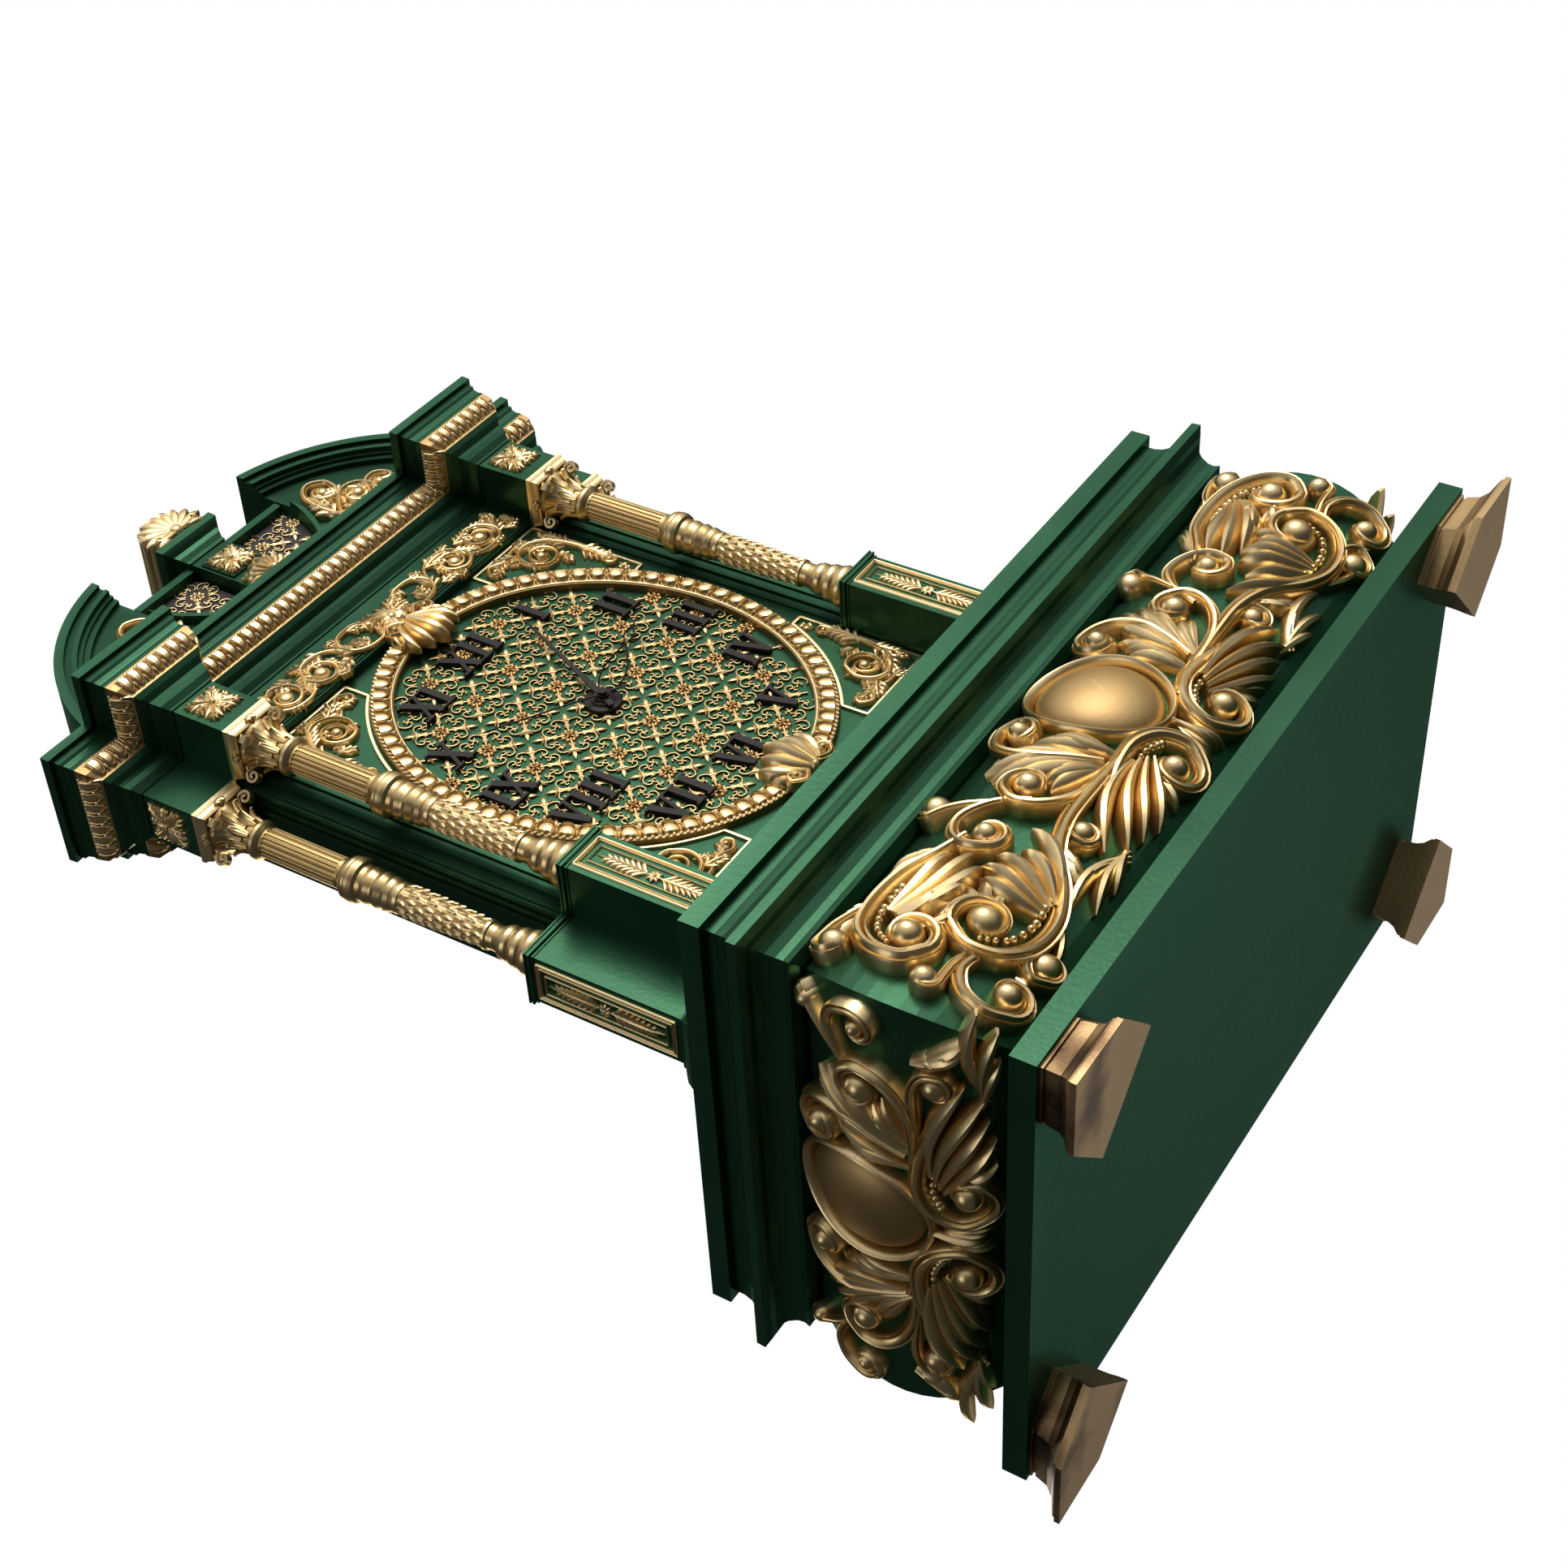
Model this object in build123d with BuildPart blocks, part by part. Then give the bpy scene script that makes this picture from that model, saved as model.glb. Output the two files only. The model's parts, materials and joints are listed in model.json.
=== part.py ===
import math
import os

from build123d import *

os.makedirs("parts", exist_ok=True)

# ---- driving dimensions (mm). +Z up, front faces -Y, origin under the middle of the feet ----
foot_h = 17.5                       # height of the cast feet
plate_x, plate_y = 190.0, 111.7     # half sizes of the base plate
plate_top = 27.8
half_diff = (plate_x - plate_y) / 2     # every plinth course keeps the same difference
bulge_r, bulge_s, bulge_z = 71.6, 142.9, 78.3   # pulvinated (convex) base block
block_z0, block_z1 = 29.3, 118.4
floor_z = 164.1                     # top of the plinth cornice
base_top = 191.5                    # top of the case base course
ped_top = 265.5                     # top of the pedestals
blk_z0, blk_z1 = 440.7, 469.7       # rosette blocks and frieze
bed_z1, egg_z1, cor_z1 = 482.5, 493.6, 508.7    # bed mould, gold band, corona
col_f = (109.5, -26.5)              # front column axis
col_s = (136.6, 0.0)                # side column axis
blk_h = 12.25                       # half width of pedestals and rosette blocks
body_x = 121.75                     # half width of the case
side_x = col_s[0] + blk_h
inner_x = col_f[0] - blk_h
front_y = -38.8                     # front of the front pedestals
panel_y = -12.07                    # front of the dial panel
frieze_y = -16.5
back_y = 31.4
dial_z = 331.0                      # height of the dial centre
bez_in = (84.0, 97.5)               # oval bezel, half sizes
bez_out = (94.5, 109.4)
ap = (88.0, 101.5)                  # oval opening in the dial panel
dial_y = -11.0
pitch = 25.8                        # lattice pitch of the dial
num_r = (73.7, 78.5, 73.2, 70.7)    # numeral radii at 0, 30, 60 and 90 degrees from twelve
boss_z = bulge_z + 11.5             # centre of the oval bosses on the base
hand_min, hand_hour, hand_sec = 24.5, 69.8, 301.6   # shown angles, clockwise from twelve
arc_cx, arc_cz, arc_r = 31.3, 481.6, 108.7      # curved pediment segments
seg_x = 51.4                        # inner end of each segment
rib_cx, rib_cz, rib_r = -31.6, 575.6, 86.8      # concave ribs
ped_back = 26.0
mesh_d = 16.4                       # centre arbor to minute-wheel arbor


def save(part, name):
    part.label = name
    export_step(part, "parts/" + name + ".step")


def courses(levels, outline, mode=Mode.ADD):
    """Moulded course: one ruled loft through the outline offset by o at each height z."""
    sections = []
    for o, z in levels:
        with BuildSketch(Plane.XY.offset(z)) as section:
            Polygon(*outline(o), align=None)
        sections.append(section.sketch)
    loft(sections, ruled=True, mode=mode)


def plinth_outline(s):
    x, y = s + half_diff, s - half_diff
    return [(-x, -y), (x, -y), (x, y), (-x, y)]


def case_outline(mid_y):
    """Break-front plan of the case, offset outwards by o."""
    def at(o):
        right = [(inner_x - o, mid_y - o), (inner_x - o, front_y - o), (body_x + o, front_y - o),
                 (body_x + o, -blk_h - o), (side_x + o, -blk_h - o), (side_x + o, blk_h + o),
                 (body_x + o, blk_h + o), (body_x + o, back_y + o)]
        return right + [(-x, y) for x, y in reversed(right)]
    return at


def front_plane(y):
    """Sketch plane facing the viewer: local x is X, local y is Z."""
    return Plane(origin=(0, y, 0), x_dir=(1, 0, 0), z_dir=(0, -1, 0))


def disc(x, z, r, y0, y1, mode=Mode.ADD):
    """Cylinder along Y from y0 back to y1."""
    with BuildSketch(front_plane(y1)) as section:
        with Locations((x, z)):
            Circle(r)
    extrude(section.sketch, amount=y1 - y0, mode=mode)


def block(x0, x1, y0, y1, z0, z1, mode=Mode.ADD):
    with Locations(((x0 + x1) / 2, (y0 + y1) / 2, (z0 + z1) / 2)):
        Box(abs(x1 - x0), y1 - y0, z1 - z0, mode=mode)


# ---- feet ----
foot_levels = [(17.5, 0.05), (16.1, 0.05), (15.9, -0.08), (15.0, -0.08), (14.8, 0.0), (9.5, 0.12),
               (6.5, 0.35), (4.5, 0.72), (3.6, 0.86), (2.4, 0.9), (2.3, 1.0), (0.0, 1.0)]


def foot_points(k, sx, sy):
    """Mitred corner foot: right-angle corner, sides along the inward diagonal, square inner end."""
    g = 8.9 * (1 - k)
    leg = 25.8 + (33.5 - 25.8) * k
    t = (78.9 - 2 * g - leg) / 2
    uv = [(g, g), (g + leg, g), (g + leg + t, g + t), (g + t, g + leg + t), (g, g + leg)]
    pts = [(sx * (196.7 - u), sy * (118.4 - v)) for u, v in uv]
    return pts if sx * sy > 0 else pts[::-1]


stud_xy = [(sx * 168.0, sy * 89.7) for sx in (-1, 1) for sy in (-1, 1)]
for name, sx, sy in (("foot_front_left", -1, -1), ("foot_front_right", 1, -1),
                     ("foot_rear_left", -1, 1), ("foot_rear_right", 1, 1)):
    with BuildPart() as foot:
        for z, k in foot_levels:
            with BuildSketch(Plane.XY.offset(z)):
                Polygon(*foot_points(k, sx, sy), align=None)
        loft(ruled=True)
        with BuildSketch(Plane.XY.offset(6.0)):
            with Locations((sx * 168.0, sy * 89.7)):
                Circle(2.05)
        extrude(amount=12.0, mode=Mode.SUBTRACT)
    save(foot.part, name)

with BuildPart() as foot_studs:
    with BuildSketch(Plane.XY.offset(6.5)):
        with Locations(*stud_xy):
            Circle(2.0)
    extrude(amount=20.0)
save(foot_studs.part, "foot_studs")

# ---- plinth ----
with BuildPart() as base_plate:
    courses([(150.85, foot_h), (150.85, plate_top), (146.0, plate_top + 0.1), (145.6, block_z0)],
            plinth_outline)
    with BuildSketch(Plane.XY.offset(foot_h - 1)):
        with Locations(*stud_xy):
            Circle(2.05)
    extrude(amount=10.2, mode=Mode.SUBTRACT)
save(base_plate.part, "base_plate")


def bulge(z):
    return bulge_s - bulge_r + math.sqrt(bulge_r ** 2 - (z - bulge_z) ** 2)


with BuildPart() as base_block:
    steps = 14
    heights = [block_z0 + (block_z1 - block_z0) * i / steps for i in range(steps + 1)]
    courses([(bulge(z), z) for z in heights], plinth_outline)
    courses([(bulge(z) - 6.0, z) for z in heights[:-1]], plinth_outline, mode=Mode.SUBTRACT)
save(base_block.part, "base_block")

with BuildPart() as plinth_cornice:
    courses([(133.95, block_z1), (138.05, 120.3), (137.5, 122.9), (137.8, 125.9), (139.1, 129.5),
             (140.2, 131.0), (142.9, 132.6), (145.4, 133.3), (148.6, 134.9), (148.4, 139.0),
             (143.8, 140.6), (141.0, 142.6), (139.2, 144.6), (138.2, 147.3), (137.6, 151.0),
             (137.6, 155.2), (141.2, 155.3), (141.2, floor_z)], plinth_outline)
    block(-165.0, 165.0, -87.0, 87.0, block_z1 - 1, floor_z - 6.0, mode=Mode.SUBTRACT)
save(plinth_cornice.part, "plinth_cornice")

# ---- scroll mounts of the base: a pierced plate bent over the bulge, and an oval cabochon ----


def scroll_plate(reach, half_z, arms):
    """Pierced outline: oval boss ring, C-scroll rings and the stems that join them."""
    with Locations((0, boss_z)):
        Ellipse(24.2, 28.0)
    for side in (-1, 1):
        for x, z, r in arms:
            with Locations((side * x, bulge_z + z)):
                Circle(r)
                Circle(r - 3.2, mode=Mode.SUBTRACT)
                Circle(2.4)
                Rectangle(2.2, 2 * r - 3)
        with Locations((side * reach / 2, bulge_z)):
            Rectangle(reach, 3.4)
        with Locations((side * (reach - 3), bulge_z)):
            Rectangle(3.2, half_z)


def boss(plane, depth):
    """Oval cabochon: a straight body of this depth under a stepped dome."""
    with BuildSketch(plane) as foot_oval:
        with Locations((0, boss_z)):
            Ellipse(19.4, 24.4)
    extrude(foot_oval.sketch, amount=depth)
    sections = []
    for rise, k in ((0.0, 1.0), (4.0, 0.86), (6.2, 0.5)):
        with BuildSketch(plane.offset(depth + rise)) as oval:
            with Locations((0, boss_z)):
                Ellipse(19.4 * k, 24.4 * k)
        sections.append(oval.sketch)
    loft(sections, ruled=True)


front_arms = [(32, 17, 11), (33, -19, 12), (57, 4, 12), (80, 17, 11), (80, -16, 12),
              (104, 3, 12), (127, 16, 11), (127, -16, 11)]
side_arms = [(30, 18, 10), (31, -19, 11), (52, 1, 11), (69, 17, 9), (69, -17, 9)]

with BuildPart() as base_mount_front:
    with BuildSketch(front_plane(-85.0)):
        scroll_plate(150.0, 36.0, front_arms)
    extrude(amount=30.0)
    with BuildSketch(Plane.YZ.offset(-170)):
        with Locations((-(bulge_s - half_diff - bulge_r), bulge_z)):
            Circle(bulge_r + 3.6)
            Circle(bulge_r + 0.15, mode=Mode.SUBTRACT)
    extrude(amount=340, mode=Mode.INTERSECT)
    boss(Plane.XZ.offset(85.0), 21.6)
    with BuildSketch(Plane.YZ.offset(-60)):
        with Locations((-(bulge_s - half_diff - bulge_r), bulge_z)):
            Circle(bulge_r + 0.15)
    extrude(amount=120, mode=Mode.SUBTRACT)
save(base_mount_front.part, "base_mount_front")

for name, sx in (("base_mount_left", -1), ("base_mount_right", 1)):
    side = Plane(origin=(sx * 163.0, 0, 0), x_dir=(0, 1, 0) if sx > 0 else (0, -1, 0), z_dir=(sx, 0, 0))
    with BuildPart() as mount:
        with BuildSketch(side):
            scroll_plate(82.0, 34.0, side_arms)
        extrude(amount=30.0)
        with BuildSketch(Plane.XZ.offset(-95)):
            with Locations((sx * (bulge_s + half_diff - bulge_r), bulge_z)):
                Circle(bulge_r + 3.6)
                Circle(bulge_r + 0.15, mode=Mode.SUBTRACT)
        extrude(amount=190, mode=Mode.INTERSECT)
        boss(side.offset(0), 21.9)
        with BuildSketch(Plane.XZ.offset(-60)):
            with Locations((sx * (bulge_s + half_diff - bulge_r), bulge_z)):
                Circle(bulge_r + 0.15)
        extrude(amount=120, mode=Mode.SUBTRACT)
    save(mount.part, name)

# ---- case base course and pedestals ----
with BuildPart() as case_base:
    courses([(5.8, floor_z), (5.8, 182.6), (5.4, 184.5), (4.4, 186.8), (2.6, 188.5), (1.1, 189.8),
             (1.0, 190.8), (0.0, base_top - 0.4), (0.0, base_top)], case_outline(panel_y))
save(case_base.part, "case_base")


def pedestal_levels():
    return [(0, base_top), (0, 261.1), (0.5, 261.2), (0.5, 261.7), (0.2, 261.8), (0.2, 262.2),
            (1.3, 262.8), (1.3, 263.9), (0.9, 264.0), (0.9, 264.6), (1.4, 264.7), (1.4, ped_top)]


for name, sx in (("pedestal_front_left", -1), ("pedestal_front_right", 1)):
    def outline(o, sx=sx):
        x0, x1 = sorted((sx * (inner_x - o), sx * (body_x + o)))
        return [(x0, front_y - o), (x1, front_y - o), (x1, panel_y), (x0, panel_y)]
    with BuildPart() as pedestal:
        courses(pedestal_levels(), outline)
    save(pedestal.part, name)

for name, sx in (("pedestal_side_left", -1), ("pedestal_side_right", 1)):
    def outline(o, sx=sx):
        x0, x1 = sorted((sx * (body_x + o), sx * (side_x + o)))
        return [(x0, -blk_h - o), (x1, -blk_h - o), (x1, blk_h + o), (x0, blk_h + o)]
    with BuildPart() as pedestal:
        courses(pedestal_levels(), outline)
    save(pedestal.part, name)


def panel_mount():
    """Gold double frame with a spray, drawn about the panel's centre line."""
    Rectangle(19.2, 67.6)
    Rectangle(16.6, 65.0, mode=Mode.SUBTRACT)
    Rectangle(11.0, 58.6)
    Rectangle(9.8, 57.4, mode=Mode.SUBTRACT)
    Circle(3.6)
    Ellipse(2.4, 24.0)


mount_planes = [Plane(origin=(x, y, 0), x_dir=xd, z_dir=zd) for x, y, xd, zd in (
    (0, front_y, (1, 0, 0), (0, -1, 0)), (-side_x, 0, (0, -1, 0), (-1, 0, 0)), (side_x, 0, (0, 1, 0), (1, 0, 0)))]
mount_spots = ((mount_planes[0], (-col_f[0], 227.0)), (mount_planes[0], (col_f[0], 227.0)),
               (mount_planes[1], (0, 227.0)), (mount_planes[2], (0, 227.0)))
with BuildPart() as pedestal_mounts:
    for plane, spot in mount_spots:
        with BuildSketch(plane):
            with Locations(spot):
                panel_mount()
        extrude(amount=0.9)
save(pedestal_mounts.part, "pedestal_mounts")

# ---- columns ----
col_profile = [(0, ped_top), (10.6, ped_top), (10.6, 267.6), (9.4, 268.4), (9.9, 269.6), (10.0, 271.4),
               (9.2, 273.6), (8.1, 274.2), (8.7, 275.6), (8.8, 277.6), (8.0, 279.6), (7.1, 280.2),
               (7.7, 281.6), (7.8, 283.4), (7.0, 285.6), (6.1, 286.3), (5.6, 289.0), (5.8, 292.0),
               (6.5, 292.6), (6.6, 293.9), (5.9, 294.5), (5.5, 295.0), (5.75, 305.0), (6.2, 318.0),
               (6.45, 330.0), (6.4, 337.0), (6.9, 337.6), (7.1, 339.2), (6.9, 340.8), (7.3, 341.6),
               (7.9, 343.6), (7.3, 345.6), (7.5, 346.2), (8.3, 348.4), (7.6, 350.6), (7.7, 351.4),
               (8.4, 354.0), (7.9, 356.4), (8.2, 358.3), (9.6, 359.4), (10.2, 361.0), (10.2, 362.6),
               (9.7, 363.6), (9.9, 364.4), (9.5, 365.8), (8.4, 367.2), (7.2, 368.1), (7.0, 369.0),
               (6.9, 411.7), (7.6, 412.4), (8.9, 413.8), (8.9, 415.4), (7.6, 416.8), (6.9, 417.4),
               (6.9, 421.0), (7.4, 425.5), (8.6, 429.4), (10.6, 432.8), (11.4, 434.6), (0, 434.6)]
abacus = [(11.6, 434.6), (12.2, 435.6), (12.2, 436.4), (12.6, 437.6), (13.3, 438.8), (13.3, blk_z0)]
for name, cx, cy in (("column_front_left", -col_f[0], col_f[1]), ("column_front_right", *col_f),
                     ("column_side_left", -col_s[0], 0.0), ("column_side_right", *col_s)):
    with BuildPart() as column:
        with BuildSketch(Plane(origin=(cx, cy, 0), x_dir=(1, 0, 0), z_dir=(0, -1, 0))):
            Polygon(*col_profile, align=None)
        revolve(axis=Axis((cx, cy, 0), (0, 0, 1)))
        with BuildSketch(Plane(origin=(cx, cy, 370.4))):
            with PolarLocations(7.15, 20):
                Circle(0.78)
        extrude(amount=40.2, mode=Mode.SUBTRACT)
        for h, z in abacus:
            with BuildSketch(Plane(origin=(cx, cy, z))):
                Rectangle(2 * h, 2 * h)
        loft(ruled=True)
    save(column.part, name)

# ---- case carcass, dial panel, back door frame ----
with BuildPart() as case_carcass:
    block(-body_x, body_x, panel_y, back_y, base_top, blk_z0)
    block(-inner_x, inner_x, panel_y - 1, panel_y + 3.0, base_top - 1, blk_z0 + 1, mode=Mode.SUBTRACT)
    block(-108, 108, panel_y + 2.9, back_y - 5.0, base_top + 12, blk_z0 - 10, mode=Mode.SUBTRACT)
    block(-74, 74, back_y - 6, back_y + 1, dial_z - 84, dial_z + 84, mode=Mode.SUBTRACT)
    for sx in (-1, 1):
        for i in range(3):
            x = sx * (body_x + 0.6)
            block(x - 0.6, x + 0.6, -11.0 + 4.4 * i, -8.8 + 4.4 * i, ped_top + 1.0, 434.2)
            xf = sx * (101.5 + 6.4 * i)
            block(xf - 1.3, xf + 1.3, panel_y - 1.0, panel_y, ped_top + 1.0, 434.2)
save(case_carcass.part, "case_carcass")

with BuildPart() as dial_panel:
    block(-inner_x + 0.05, inner_x - 0.05, panel_y, panel_y + 3.0, base_top, blk_z0 - 0.05)
    with BuildSketch(front_plane(panel_y + 4)):
        with Locations((0, dial_z)):
            Ellipse(*ap)
    extrude(amount=6, mode=Mode.SUBTRACT)
save(dial_panel.part, "dial_panel")

with BuildPart() as dial_plate:
    with BuildSketch(front_plane(dial_y + 1.9)):
        with Locations((0, dial_z)):
            Ellipse(ap[0] - 0.1, ap[1] - 0.1)
            Circle(3.5, mode=Mode.SUBTRACT)
    extrude(amount=1.9)
save(dial_plate.part, "dial_plate")

with BuildPart() as bezel:
    for y, k in ((panel_y, 0.0), (-13.6, 0.0), (-14.0, 1.4), (-15.2, 2.0), (-16.6, 4.4), (-17.2, 7.4)):
        with BuildSketch(front_plane(y)):
            with Locations((0, dial_z)):
                Ellipse(bez_out[0] - k, bez_out[1] - k)
    loft(ruled=True)
    with BuildSketch(front_plane(dial_y + 0.0)):
        with Locations((0, dial_z)):
            Ellipse(ap[0] - 0.1, ap[1] - 0.1)
    extrude(amount=2.0)
    for y, k in ((dial_y + 1, 0.0), (-14.0, 0.0), (-18.0, 2.6)):
        with BuildSketch(front_plane(y)):
            with Locations((0, dial_z)):
                Ellipse(bez_in[0] + k, bez_in[1] + k)
    loft(ruled=True, mode=Mode.SUBTRACT)
save(bezel.part, "bezel")

with BuildPart() as bezel_clasps:
    for z in (dial_z + 103.6, dial_z - 103.6):
        for y, w, h in ((-17.2, 11.0, 9.6), (-19.6, 9.4, 8.0), (-21.2, 5.0, 5.0)):
            with BuildSketch(front_plane(y)):
                with Locations((0, z)):
                    Ellipse(w, h)
        loft(ruled=True)
save(bezel_clasps.part, "bezel_clasps")

# ---- dial lattice and numerals ----


def lattice(cz, p, n, m, r, w):
    """Flowers on a square grid about (0, cz), joined by rods along both diagonals."""
    with Locations(*[(i * p, cz + j * p) for i in range(-n, n + 1) for j in range(-m, m + 1)]):
        Circle(r)
    for side in (-1, 1):
        with Locations(*[(k * p / 2, cz + side * k * p / 2) for k in range(1 - n - m, n + m)]):
            Rectangle(w, 2.2 * p * (n + m) / math.sqrt(2), rotation=45 * side)


with BuildPart() as dial_lattice:
    with BuildSketch(front_plane(dial_y)):
        lattice(dial_z, pitch, 3, 3, 3.0, 1.1)
        with Locations((0, dial_z)):
            Ellipse(bez_in[0] - 0.3, bez_in[1] - 0.3, mode=Mode.INTERSECT)
            Circle(4.2, mode=Mode.SUBTRACT)
    extrude(amount=0.7)
save(dial_lattice.part, "dial_lattice")

num_h, num_stem, num_wide = 17.8, 8.0, 13.2
numerals = ["XII", "I", "II", "III", "IV", "V", "VI", "VII", "VIII", "IX", "X", "XI"]


def glyph(ch, x, z):
    """One upright Roman letter about (x, z), with serifs."""
    top, bot, t, arm = num_h / 2, -num_h / 2, 1.1, num_wide / 2 - 2.3
    if ch == "I":
        bars, feet = [((0, bot), (0, top), 3.5)], [(0, top), (0, bot)]
    elif ch == "V":
        bars, feet = [((-arm, top), (0.3, bot), 3.4), ((arm, top), (-0.3, bot), 1.8)], [(-arm, top), (arm, top)]
    else:
        bars = [((-arm, top), (arm, bot), 3.4), ((arm, top), (-arm, bot), 1.8)]
        feet = [(-arm, top), (arm, top), (-arm, bot), (arm, bot)]
    for (ax, az), (bx, bz), w in bars:
        length = math.hypot(bx - ax, bz - az)
        with Locations((x + (ax + bx) / 2, z + (az + bz) / 2)):
            Rectangle(w, length, rotation=math.degrees(math.atan2(ax - bx, bz - az)))
    for fx, fz in feet:
        with Locations((x + fx, z + fz - math.copysign(t / 2, fz))):
            Rectangle(6.0, t)


with BuildPart() as numerals_part:
    with BuildSketch(front_plane(-11.7)):
        for n, text in enumerate(numerals):
            a = math.radians(30 * n)
            widths = [num_stem if c == "I" else num_wide for c in text]
            r = num_r[min(n % 6, 6 - n % 6)] - 0.85 * max(sum(widths) - 30, 0)
            x = r * math.sin(a) - sum(widths) / 2
            for c, w in zip(text, widths):
                glyph(c, x + w / 2, dial_z + r * math.cos(a))
                x += w
    extrude(amount=2.1)
save(numerals_part.part, "numerals")

# ---- spandrels ----
with BuildPart() as spandrels:
    for sx in (-1, 1):
        for sz in (-1, 1):
            with BuildSketch(front_plane(panel_y)):
                pts = [(48.0, 108.2), (95.5, 108.2), (95.5, 44.3), (90.0, 44.3), (72.0, 84.0), (48.0, 100.0)]
                Polygon(*[(sx * x, dial_z + sz * z) for x, z in pts], align=None)
                offset(amount=-1.6, mode=Mode.SUBTRACT)
                for cx, cz, r in ((83.5, 94.5, 9), (68, 99.5, 6.5), (88.5, 73, 5.5), (90.5, 58, 3.6)):
                    with Locations((sx * cx, dial_z + sz * cz)):
                        Circle(r)
                        Circle(r - 1.8, mode=Mode.SUBTRACT)
                        Circle(1.9)
                        Rectangle(1.6, 2 * r - 1)
                with Locations((sx * 90.0, dial_z + sz * 76.0)):
                    Rectangle(1.6, 60)
                with Locations((sx * 71.0, dial_z + sz * 103.0)):
                    Rectangle(46, 1.6)
                with Locations((0, dial_z)):
                    Ellipse(bez_out[0] + 1.2, bez_out[1] + 1.0, mode=Mode.SUBTRACT)
            extrude(amount=1.0)
save(spandrels.part, "spandrels")

# ---- frieze and entablature ----
with BuildPart() as frieze_blocks:
    courses([(0, blk_z0), (0, blk_z1)], case_outline(frieze_y))
    for i in range(3):
        block(-inner_x, inner_x, frieze_y - 0.55, frieze_y, blk_z0 + 0.3 + 1.8 * i, blk_z0 + 1.3 + 1.8 * i)
save(frieze_blocks.part, "frieze_blocks")

with BuildPart() as frieze_rinceau:
    with BuildSketch(front_plane(frieze_y)):
        with Locations((0, 457.6)):
            Ellipse(6.5, 10.2)
            Rectangle(188, 1.6)
        for sx in (-1, 1):
            for i, (x, r) in enumerate(((18, 6.6), (34, 8.6), (52, 9.2), (70, 8.2), (86, 6.6))):
                with Locations((sx * x, 457.6 + (1.2 if i % 2 else -0.8))):
                    Circle(r)
                    Circle(r - 2.0, mode=Mode.SUBTRACT)
                    Circle(2.6)
                    Rectangle(2 * r - 1, 1.8)
    extrude(amount=1.6)
save(frieze_rinceau.part, "frieze_rinceau")

rosette_spots = [(mount_planes[0], (-col_f[0], 457.3)), (mount_planes[0], (col_f[0], 457.3)),
                 (mount_planes[1], (0, 457.3)), (mount_planes[2], (0, 457.3))]


def rosette(r):
    with PolarLocations(r * 0.55, 8):
        Circle(r * 0.27)
    Circle(r * 0.5)


with BuildPart() as rosettes:
    for plane, spot in rosette_spots:
        with BuildSketch(plane):
            with Locations(spot):
                Rectangle(21.0, 21.0)
        extrude(amount=0.9)
        with BuildSketch(plane.offset(0.8)):
            with Locations(spot):
                rosette(9.6)
        extrude(amount=1.3)
        with BuildSketch(plane.offset(2.0)):
            with Locations(spot):
                Circle(2.7)
        extrude(amount=1.2)
save(rosettes.part, "rosettes")

for name, levels in (
    ("entablature_bed", [(0.7, blk_z1), (0.7, 471.0), (2.8, 473.5), (4.1, 476.0), (4.2, 478.4),
                         (6.7, 480.3), (8.7, bed_z1)]),
    ("egg_dart_band", [(8.7, bed_z1), (9.0, 483.5), (10.2, 485.1), (12.3, 487.7), (12.8, 490.6),
                       (13.0, 492.3), (13.1, egg_z1)]),
    ("corona", [(13.2, egg_z1), (13.2, 494.9), (13.0, 496.3), (13.2, 497.2), (13.5, 499.3),
                (14.5, 500.5), (14.6, 504.0), (16.7, 504.1), (16.9, cor_z1)]),
):
    with BuildPart() as course:
        courses(levels, case_outline(frieze_y))
    save(course.part, name)

# ---- pediment ----
rings = [(arc_r, 104.3, -22.4), (104.4, 100.6, -20.4), (100.7, 98.4, -21.4), (98.5, 96.4, -19.0),
         (96.5, 93.4, -17.5), (93.5, 0.0, -15.0)]
for name, sx in (("pediment_left", -1), ("pediment_right", 1)):
    with BuildPart() as segment:
        for r1, r0, y in rings:
            with BuildSketch(front_plane(ped_back)):
                with Locations((sx * arc_cx, arc_cz)):
                    Circle(r1)
                    if r0:
                        Circle(r0, mode=Mode.SUBTRACT)
                with Locations((sx * (seg_x + 45), cor_z1 + 50)):
                    Rectangle(90, 100, mode=Mode.INTERSECT)
            extrude(amount=ped_back - y)
    save(segment.part, name)

with BuildPart() as tympanum_scrolls:
    for sx in (-1, 1):
        with BuildSketch(front_plane(-15.0)):
            for x, z, r in ((62, 548, 9.0), (77, 532, 10.5), (95, 525, 8.0), (108, 517, 5.6)):
                with Locations((sx * x, z)):
                    Circle(r)
                    Circle(r - 2.2, mode=Mode.SUBTRACT)
                    Circle(2.6)
                    Rectangle(1.8, 2 * r - 1)
            with Locations((sx * 86, 528)):
                Rectangle(56, 1.8, rotation=-sx * 33)
        extrude(amount=1.6)
save(tympanum_scrolls.part, "tympanum_scrolls")

with BuildPart() as pediment_ribs:
    for sx in (-1, 1):
        with BuildSketch(front_plane(-8.0)):
            with Locations((sx * rib_cx, rib_cz)):
                Circle(rib_r + 1.25)
                Circle(rib_r - 1.25, mode=Mode.SUBTRACT)
            with Locations((sx * 38.6, (cor_z1 + rib_cz) / 2)):
                Rectangle(35.4, rib_cz - cor_z1, mode=Mode.INTERSECT)
            with Locations((sx * (seg_x + 10), 540)):
                Rectangle(20, 100, mode=Mode.SUBTRACT)
        extrude(amount=10.5)
save(pediment_ribs.part, "pediment_ribs")


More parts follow.
